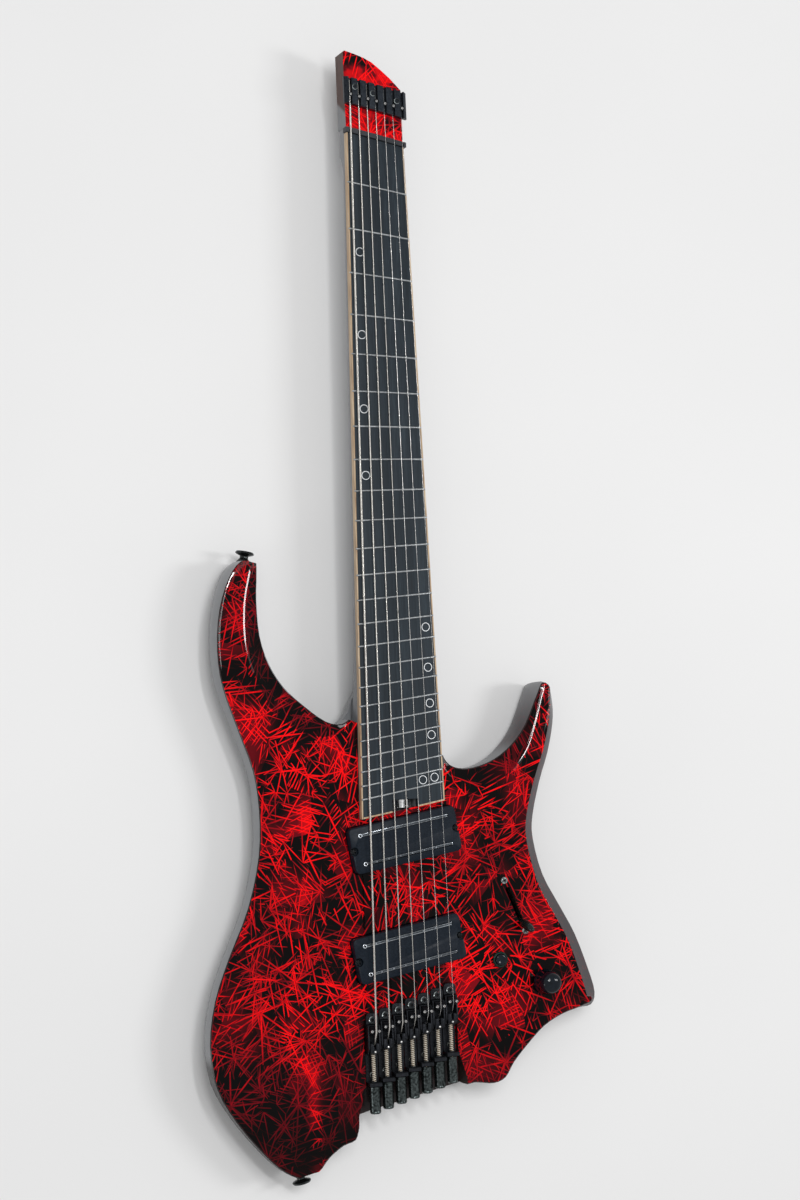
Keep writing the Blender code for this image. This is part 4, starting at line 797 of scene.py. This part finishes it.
fretWire = {
    "section": [
        (-0.8, -0.4), (-0.8, 0.1), (-0.68, 0.55), (-0.42, 0.86), (0, 1.0), (0.42, 0.86), (0.68, 0.55),
        (0.8, 0.1), (0.8, -0.4),
    ],
    "ends": [(0, 0.55, 0.35), (0.25, 0.85, 0.75), (0.7, 1, 1)],  # way from the end, share of width, of height
    "steps": 8,
}
binding = {"width": 1.1, "rows": 74, "columns": 14}
wheelNotch = {"x": (-9.4, 11.4), "y": (-10, 8), "z": (31, 60)}  # y is counted from the board's end
inlays = {
    "at": [
        (-16.2, 490.2), (-17.4, 427), (-18.3, 370.5), (-19.2, 320), (23.8, 204), (24.3, 173.4), (24.5, 146.2),
        (24.7, 122.1), (16, 88.4), (25.7, 89.9),
    ],
    "radius": 3.1, "width": 0.42,
}


def makeBoard():
    columns, rows = binding["columns"], binding["rows"]
    board = bmesh.new()
    made = bmesh.ops.create_grid(board, x_segments=columns, y_segments=rows, size=1.0)
    ends = {}
    for side in (-1, 1):
        ends[side] = boardEdge(scale["frets"], side, scale["tail"]), boardEdge(0, side)
    for vert in made["verts"]:
        share = (vert.co.y + 1) / 2
        if abs(share - 1 / rows) < 0.5 / rows:
            share = binding["width"] / (ends[1][1] - ends[1][0]).length
        left = ends[-1][0].lerp(ends[-1][1], share)
        right = ends[1][0].lerp(ends[1][1], share)
        side = (vert.co.x + 1) / 2
        edge = binding["width"] / (right - left).length
        if abs(side - 1 / columns) < 0.5 / columns:
            side = edge
        if abs(side - 1 + 1 / columns) < 0.5 / columns:
            side = 1 - edge
        spot = left.lerp(right, side)
        vert.co = (spot.x * mm, spot.y * mm, (scale["top"] + camber(spot.x)) * mm)
    grown = bmesh.ops.extrude_face_region(board, geom=board.faces[:])["geom"]
    for vert in only(grown, "BMVert"):
        vert.co.z = scale["under"] * mm
    closeUp(board)
    for face in board.faces:
        thin = min(edge.calc_length() for edge in face.edges) < (binding["width"] + 0.2) * mm
        face.material_index = 1 if abs(face.normal.z) < 0.5 or thin else 0
    names = ["ebonyBoard", "bindingWood"]
    piece = addPiece("fingerBoard", board, names, smooth=30, replaced=["fretboard"])
    notch = bmesh.new()
    bmesh.ops.create_cube(notch, size=1.0)
    endY = fretLine(scale["frets"], 0) - scale["tail"]
    (left, right), (near, far), (low, high) = wheelNotch["x"], wheelNotch["y"], wheelNotch["z"]
    corner, opposite = Vector((left, endY + near, low)), Vector((right, endY + far, high))
    bmesh.ops.scale(notch, vec=(opposite - corner) * mm, verts=notch.verts)
    bmesh.ops.translate(notch, vec=(corner + opposite) / 2 * mm, verts=notch.verts)
    carve(piece, notch)
    piece.data.set_sharp_from_angle(angle=math.radians(30))


def makeFrets():
    frets = bmesh.new()
    ends, steps = fretWire["ends"], fretWire["steps"]
    for number in range(1, scale["frets"] + 1):
        left, right = boardEdge(number, -1), boardEdge(number, 1)
        run = (right - left).normalized()
        width = (right - left).length
        stations = ends + [(width * step / steps, 1, 1) for step in range(1, steps)]
        stations += [(width - way, wide, tall) for way, wide, tall in reversed(ends)]
        cap = None
        for station, wide, tall in stations:
            spot = left + run * station
            if cap is None:
                order = {frets.verts.new(): index for index in range(len(fretWire["section"]))}
                cap = frets.faces.new(list(order))
            else:
                grown = bmesh.ops.extrude_face_region(frets, geom=[cap])["geom"]
                cap = only(grown, "BMFace")[0]
                order = carried(order, only(grown, "BMVert"))
            for vert, index in order.items():
                side, rise = fretWire["section"][index]
                vert.co.x = (spot.x - run.y * side * wide) * mm
                vert.co.y = (spot.y + run.x * side * wide) * mm
                vert.co.z = (scale["top"] + camber(spot.x) + (rise * tall if rise > 0 else rise)) * mm
    addPiece("fretWires", closeUp(frets), ["fretNickel"], smooth=50)


def makeInlays():
    rings = bmesh.new()
    inner, outer = inlays["radius"] - inlays["width"] / 2, inlays["radius"] + inlays["width"] / 2
    profile = [(inner, -0.3), (inner, 0.03), (outer, 0.03), (outer, -0.3), (inner, -0.3)]
    for x, y in inlays["at"]:
        tilt = Matrix.Rotation(math.asin(x / scale["radius"]), 4, "Y")
        turnedOn(rings, profile, along(x, y, scale["top"] + camber(x)) @ tilt, 40)
    addPiece("ringInlays", closeUp(rings), ["ringSilver"], smooth=40)


cadPiece("carvedNeck", "neck", "neckPaint", 0.5, 40)
cadPiece("slottedNut", "nut", "nutBone", 0.12)
makeBoard()
makeFrets()
makeInlays()
print("neck and board done")

# string lock and strings

lock = {
    "top": 52.0, "screws": [(-15.9, 615.7), (-1.7, 611.2), (17.5, 606)],
    "screw": (2.3, 0.75, 1.2), "sunk": 0.4,  # radius, height, key hole
    "pin": (0.9, 1.3, 0.45, 16), "pinSunk": 0.9,  # and its sides
    "wound": 4,  # how many strings are wound
}


def makeLock():
    cadPiece("lockBlock", "string_lock", "lockPlate", 0.25)
    places = [along(x, y, lock["top"] - lock["sunk"]) for x, y in lock["screws"]]
    screwPiece("lockScrews", socketScrew, places, lock["screw"], socketFinishes)
    places = []
    for number in numbers:
        low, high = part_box(f"string_clamp_{number}")
        middle = (low + high) / 2 / mm
        places.append(along(middle.x, middle.y, lock["top"] - lock["pinSunk"]))
    screwPiece("clampPins", socketScrew, places, lock["pin"], pinFinishes)
    for number in numbers:
        cadPiece(f"clampScrew_{number}", f"string_clamp_{number}", "darkScrew", 0.1)


def makeStrings():
    for number in numbers:
        finishName = "woundString" if number <= lock["wound"] else "stringPlain"
        cadPiece(f"wire_{number}", f"string_{number}", finishName, smooth=80)


makeLock()
makeStrings()
print("strings done")

# bridge units and tuners

units = {
    "at": [
        (-31.5, -97.46), (-21, -94.58), (-10.5, -91.69), (0, -88.8), (10.5, -85.91), (21, -83.02),
        (31.5, -80.14),
    ],
    "rodZ": 42.5, "rodRadius": 1.45, "rodFrom": 17.2,
    # each screw: place from the saddle's middle, then radius, height, key hole; the pin also its sides
    "tongueScrew": ((-0.6, 8.7, 44.0), (2.7, 2.3, 1.35)), "floorScrew": ((0, -33.0, 38.5), (2.1, 1.2, 1.0)),
    "heightPin": (1.0, 2.4, 0.5, 16), "pinAside": 2.75, "pinAhead": 0.6, "pinZ": 50.3,
    "washerFrom": 37.2, "washer": [(1.85, 0), (2.7, 0), (2.7, 0.7), (1.85, 0.7), (1.85, 0)],
    "anchor": (15.0, 47.4), "collar": [(1.0, 0), (1.9, 0), (1.9, 0.5), (1.6, 0.8), (1.0, 0.8), (1.0, 0)],
    "stopper": [(0, 0), (0.85, 0), (0.85, 0.7), (0.5, 1.0), (0, 1.1)],
}
# ridges along the rod: where they run, how far apart, and each one's section past the rod's radius
thread = {"from": 17.5, "to": 48.0, "gap": 1.4, "steps": 14, "ridge": [(-0.1, -0.42), (0.2, 0), (-0.1, 0.42)]}
knurl = {
    "from": 41.3, "length": 20.2, "radius": 4.2, "around": 44, "rows": 30, "dip": 0.95,
    "first": 0.8, "short": 2.4,  # where the knurling starts, and how much shorter it is than the knob
    # height and share of the radius at both ends, the second from the knob's end
    "start": [(0.0, 0.92), (0.35, 0.99)],
    "finish": [(-1.2, 1.0), (-0.5, 0.93), (0, 0.8), (0, 0.45), (-2.0, 0.42), (-2.0, 0.0)],
    "boreRadius": 1.85, "boreDepth": 14.0,
}


def makeRodThread(number, x, y):
    ridges = bmesh.new()
    radius, gap, steps = units["rodRadius"] * mm, thread["gap"] * mm, thread["steps"]
    turns = int((thread["to"] - thread["from"]) * mm / gap)
    section = [ridges.verts.new((radius + reach * mm, 0, rise * mm)) for reach, rise in thread["ridge"]]
    bmesh.ops.spin(
        ridges, geom=[ridges.faces.new(section)], cent=(0, 0, 0), axis=(0, 0, 1), dvec=(0, 0, gap / steps),
        angle=math.tau * turns, steps=turns * steps,
    )
    bmesh.ops.transform(ridges, matrix=towardTail(x, y - thread["from"], units["rodZ"]), verts=ridges.verts)
    name, body = f"rodThread_{number}", f"carriage_{number}"
    addPiece(name, closeUp(ridges), ["threadSteel"], body, 60)


def makeKnob(number, x, y):
    knob = bmesh.new()
    around, rows, radius, length = knurl["around"], knurl["rows"], knurl["radius"] * mm, knurl["length"]
    made = bmesh.ops.create_circle(knob, cap_ends=False, segments=around, radius=radius * 0.9)
    order = {vert: index for index, vert in enumerate(made["verts"])}
    ring = list({edge for vert in made["verts"] for edge in vert.link_edges})
    stations = [(height, share, False) for height, share in knurl["start"]]
    run = length - knurl["short"]
    stations += [(knurl["first"] + run * row / rows, 1.0, True) for row in range(rows + 1)]
    stations += [(length + height, share, False) for height, share in knurl["finish"]]
    for row, (height, share, knurled) in enumerate(stations):
        if row:
            grown = bmesh.ops.extrude_edge_only(knob, edges=ring)["geom"]
            ring = only(grown, "BMEdge")
            order = carried(order, only(grown, "BMVert"))
        for vert, index in order.items():
            angle = math.tau * index / around
            reach = radius * share * (knurl["dip"] if knurled and (index + row) % 2 else 1.0)
            vert.co = (reach * math.cos(angle), reach * math.sin(angle), height * mm)
    # the bore at the open end
    grown = bmesh.ops.extrude_edge_only(knob, edges=[edge for edge in knob.edges if edge.is_boundary])["geom"]
    for vert in only(grown, "BMVert"):
        reach = math.hypot(vert.co.x, vert.co.y)
        vert.co.xy *= knurl["boreRadius"] * mm / reach if reach else 1
    grown = bmesh.ops.extrude_edge_only(knob, edges=only(grown, "BMEdge"))["geom"]
    bmesh.ops.translate(knob, verts=only(grown, "BMVert"), vec=(0, 0, knurl["boreDepth"] * mm))
    bmesh.ops.holes_fill(knob, edges=[edge for edge in knob.edges if edge.is_boundary], sides=0)
    bmesh.ops.transform(knob, matrix=towardTail(x, y - knurl["from"], units["rodZ"]), verts=knob.verts)
    name, body, node = f"knurledKnob_{number}", f"tuner_{number}", f"tuner_knob_{number}"
    addPiece(name, closeUp(knob), ["knurlGlintBlack"], body, 22, [node])


def makeUnit(number, x, y):
    cadPiece(f"unitBase_{number}", f"bridge_base_{number}", "blackPlate", 0.2)
    cadPiece(f"saddleBlock_{number}", f"saddle_{number}", "blackPlate", 0.25)
    node = f"carriage_{number}"
    block = cadCopy(node)
    behind = (y - units["rodFrom"]) * mm
    for face in block.faces:
        face.material_index = 1 if face.calc_center_median().y < behind else 0
    names = ["blackPlate", "threadRoot"]
    addPiece(f"carriageBlock_{number}", block, names, node, replaced=[node], bevel=0.15)
    screws = bmesh.new()
    for (aside, ahead, z), sizes in (units["tongueScrew"], units["floorScrew"]):
        socketScrew(screws, along(x + aside, y + ahead, z), *sizes)
    addPiece(f"unitScrews_{number}", closeUp(screws), socketFinishes)
    aside, ahead, top = units["pinAside"], units["pinAhead"], units["pinZ"] + camber(x)
    places = [along(x + side, y + ahead, top) for side in (-aside, aside)]
    screwPiece(f"heightPins_{number}", socketScrew, places, units["heightPin"], pinFinishes)
    bearing = towardTail(x, y - units["washerFrom"], units["rodZ"])
    turnedPiece(f"rodWasher_{number}", units["washer"], bearing, 24, "darkScrew", "guitar")
    back, top = units["anchor"]
    anchor = along(x, y - back, top)
    turnedPiece(f"anchorCollar_{number}", units["collar"], anchor, 24, "blackPlate", node)
    turnedPiece(f"anchorPin_{number}", units["stopper"], anchor, 16, "brightScrew", node)
    makeRodThread(number, x, y)
    makeKnob(number, x, y)


for number, (x, y) in enumerate(units["at"], 1):
    makeUnit(number, x, y)
print("bridge done")

# pickups

pickups = {
    "neck": (44.1, 9.3), "bridge": (-37.9, 10.0),  # middle along the strings, and turn
    "top": 48.0, "highlightBand": 0.5,
    "screwAt": 41.9, "screwZ": 45.2, "screw": (2.3, 1.1),
    # studs in two rows on the cover: one crossed screw, then small cones
    "rows": (-10.8, 10.8), "studZ": 49.0, "studScrewAt": -35.2, "studScrew": (1.7, 0.35),
    "coneFrom": -36, "coneRun": 72, "coneGaps": 7.4, "cones": 6, "cone": (0.55, 0.45, 0.5),
}


def makePickup(name):
    centreY, degrees = pickups[name]
    cover = cadCopy(f"{name}_pickup")
    for face in cover.faces:
        face.material_index = 1 if face.calc_center_median().z > (pickups["top"] + 0.05) * mm else 0
        # a chrome band around each blade's top is a painted highlight along its edges, and the top inside it is
        # painted dark
        if face.material_index and face.normal.z > 0.9:
            bmesh.ops.inset_region(cover, faces=[face], thickness=pickups["highlightBand"] * mm)
            face.material_index = 2
    addPiece(
        f"{name}PickupCover", cover, ["pickupCover", "bladeChrome", "bladeTopShade"], replaced=[f"{name}_pickup"],
        bevel=0.2,
    )
    place = along(0, centreY, 0, "Z", degrees)
    studs = bmesh.new()
    for row in pickups["rows"]:
        crossScrew(studs, place @ along(pickups["studScrewAt"], row, pickups["studZ"]), *pickups["studScrew"])
    for row in pickups["rows"]:
        for step in range(1, pickups["cones"] + 1):
            x = pickups["coneFrom"] + pickups["coneRun"] * step / pickups["coneGaps"]
            coneOn(studs, 12, *pickups["cone"], place @ along(x, row, pickups["studZ"]))
    addPiece(f"{name}PickupStuds", closeUp(studs), ["bladeChrome", "socketShade"])
    places = [place @ along(side * pickups["screwAt"], 0, pickups["screwZ"]) for side in (-1, 1)]
    screwPiece(f"{name}PickupScrews", crossScrew, places, pickups["screw"], crossFinishes)


makePickup("neck")
makePickup("bridge")
print("pickups done")

# controls

controls = {
    "volume": (111.0, -71.5), "button": (74.8, -52.0),
    "dome": [
        (0, 15.3), (3.3, 15.3), (3.3, 0.6), (8.9, 0.6), (9.5, 0.9), (9.7, 1.6), (9.6, 2.6), (9.2, 3.4),
        (8.9, 5), (8.8, 8), (8.7, 11), (8.4, 13.2), (7.8, 15.2), (6.8, 16.8), (5.4, 17.8), (3.4, 18.35),
        (1.6, 18.48), (0, 18.5),
    ],
    "cap": [(0, -12), (4.3, -12), (4.3, -0.8), (4.1, -0.3), (3.6, 0), (2.6, -0.15), (1.2, -0.35), (0, -0.4)],
    "capAbove": 3.5,
    "switchScrews": [(81.4, 7.9), (97.1, -31.4)], "switchScrew": (2.9, 1.6), "switchTurn": 25,
    "leverPivot": (89.2, -11.8, 14.0), "leverAxis": (0.157, -0.392, 0.906), "tipFrom": 31.0,
}


def makeControls():
    top = carved["top"]
    place = along(*controls["volume"], top)
    node = ["volume_knob"]
    turnedPiece("volumeDome", controls["dome"], place, 64, "knobGloss", "volume", 40, node)
    place = along(*controls["button"], top + controls["capAbove"])
    node = ["push_button"]
    turnedPiece("killButton", controls["cap"], place, 48, "knobGloss", "button", 40, node)
    cadPiece("buttonBezel", "button_housing", "bezelGreen", 0.15)
    cadPiece("volumePot", "volume_pot", "wheelSteel", 0.15)
    cadPiece("switchFrame", "pickup_switch", "darkScrew", 0.15)
    lever = cadCopy("switch_lever")
    pivot, axis = Vector(controls["leverPivot"]) * mm, Vector(controls["leverAxis"])
    for face in lever.faces:
        out = (face.calc_center_median() - pivot).dot(axis)
        face.material_index = 1 if out > controls["tipFrom"] * mm else 0
    names, node = ["leverSteel", "leverTeal"], ["switch_lever"]
    addPiece("switchArm", lever, names, "lever", 40, node, 0.25)
    places = [along(x, y, top, "Z", controls["switchTurn"]) for x, y in controls["switchScrews"]]
    # the switch screws' heads are painted highlight
    screwPiece("switchScrews", crossScrew, places, controls["switchScrew"], ["screwRimGlint", "socketShade"])


makeControls()
print("controls done")

# small hardware

hardware = {
    "straps": {"strap_button_upper": (-110.8, 257, -12), "strap_button_lower": (-86.5, -199.5, 192)},
    "strapZ": 21.0, "strapReach": 8.7, "strapScrew": (2.6, 0.3),
}
disc = {
    "at": (1.0, 68.3, 38.5), "radius": 7.0, "length": 6.0, "sides": 32, "holeEvery": 4,
    "rim": 0.08, "step": 0.02, "holeDepth": 2.4, "shaftRadius": 2.0, "shaft": 12.0, "overlap": 0.2,
}


def makeHardware():
    for node, (x, y, degrees) in hardware["straps"].items():
        piece = f"{node.split('_')[2]}StrapButton"
        cadPiece(piece, node, "strapBlack", 0.3, 50)
        outward = along(x, y, hardware["strapZ"], "Z", degrees) @ along(0, 0, 0, "X", -90)
        places = [outward @ along(0, 0, hardware["strapReach"])]
        screwPiece(f"{piece}Screw", crossScrew, places, hardware["strapScrew"], crossFinishes)
    cadPiece("outputSocket", "output_jack", "darkScrew", 0.2, 40)
    cadPiece("cavityCover", "control_cover", "coverMatte", 0.3)


def makeWheel():
    wheel = bmesh.new()
    radius, length, overlap = disc["radius"], disc["length"], disc["overlap"]
    coneOn(wheel, disc["sides"], radius, radius, length, along(0, 0, length / 2))
    rims = [face for face in wheel.faces if abs(face.normal.z) < 0.5]
    rims.sort(key=lambda face: math.atan2(face.calc_center_median().y, face.calc_center_median().x))
    for hole in rims[::disc["holeEvery"]]:
        bmesh.ops.inset_region(wheel, faces=[hole], thickness=disc["rim"] * mm)
        bmesh.ops.inset_region(wheel, faces=[hole], thickness=disc["step"] * mm, depth=-disc["holeDepth"] * mm)
        # each hole is painted shade
        hole.material_index = 1
    thin, long = disc["shaftRadius"], disc["shaft"]
    coneOn(wheel, 24, thin, thin, long + 2 * overlap, along(0, 0, length + long / 2 - overlap))
    bmesh.ops.transform(wheel, matrix=along(*disc["at"], "X", -90), verts=wheel.verts)
    names = ["wheelSteel", "socketShade"]
    addPiece("trussWheel", closeUp(wheel), names, "truss", 35, ["truss_wheel"], 0.15)


makeHardware()
makeWheel()
print("hardware done")

# floor, light, camera

stage = {
    "floor": (0.8, 0.8, 0.8), "lighter": 1.03, "floorHalf": 6.0, "floorZ": -0.0004, "world": 0.5, "seen": 0.62,
    # place, target, size, power
    "lamps": {
        "keyLight": ((-0.4, 0.56, 2.17), (0.1, 0.13, 0), (0.14, 0.8), 10.0),
        "keyLightPair": ((0.0, 0.56, 2.22), (0.1, 0.13, 0), (0.14, 0.8), 10.0),
        "fillLight": ((-2.3, -0.7, 0.45), (0, 0.1, 0), (0.6, 0.6), 5.0),
        "ridgeLight": ((1.4, 0.2, 1.75), (-0.1, 0.2, 0), (0.34, 0.7), 10.0),
    },
    "lens": 78.0, "cameraAt": (-0.6766486, 0.1466989, 1.8936385),
    # the camera's right, up and back
    "cameraAxes": (
        (0.93797387, -0.04376455, 0.34393268), (0.02734687, 0.99824934, 0.05244425),
        (-0.34562577, -0.03978585, 0.93752862),
    ),
}


def paleFloor():
    shader, place = startMaterial("paleFloor")
    lighter = tuple(share * stage["lighter"] for share in stage["floor"])
    color = twoTone(noise(place, 3.0, 2.0), stage["floor"], lighter)
    setSockets(shader, {"Base Color": color, "Roughness": 0.9})
    floor = bmesh.new()
    bmesh.ops.create_grid(floor, x_segments=1, y_segments=1, size=stage["floorHalf"])
    bmesh.ops.translate(floor, verts=floor.verts, vec=(0, 0, stage["floorZ"]))
    solidOf("floor", floor, [paint["paleFloor"]])


def worldLight():
    world = bpy.data.worlds.new("softWorld")
    bpy.context.scene.world = world
    world.use_nodes = True
    tree = world.node_tree
    rays = tree.nodes.new("ShaderNodeLightPath").outputs
    seen = highest(rays["Is Camera Ray"], rays["Is Glossy Ray"], rays["Is Transmission Ray"])
    strength = fade(seen, 0.0, 1.0, stage["world"], stage["seen"])
    setSockets(tree.nodes["Background"], {"Color": (1.0, 1.0, 1.0, 1.0), "Strength": strength})


def softBox(name, at, target, size, power):
    light = bpy.data.lights.new(name, "AREA")
    light.shape = "RECTANGLE"
    light.size, light.size_y = size
    light.energy = power
    lamp = objectOf(name, light)
    lamp.location = at
    lamp.rotation_euler = (Vector(target) - Vector(at)).to_track_quat("-Z", "Y").to_euler()


def makeCamera():
    data = bpy.data.cameras.new("camera")
    data.lens = stage["lens"]
    data.sensor_width = 36.0
    data.clip_end = 50.0
    camera = objectOf("camera", data)
    turned = Matrix(stage["cameraAxes"]).transposed()
    camera.matrix_world = Matrix.Translation(stage["cameraAt"]) @ turned.to_4x4()
    bpy.context.scene.camera = camera


paleFloor()
worldLight()
for name, values in stage["lamps"].items():
    softBox(name, *values)
makeCamera()
bpy.context.scene.view_settings.view_transform = "Standard"
print("stage done")
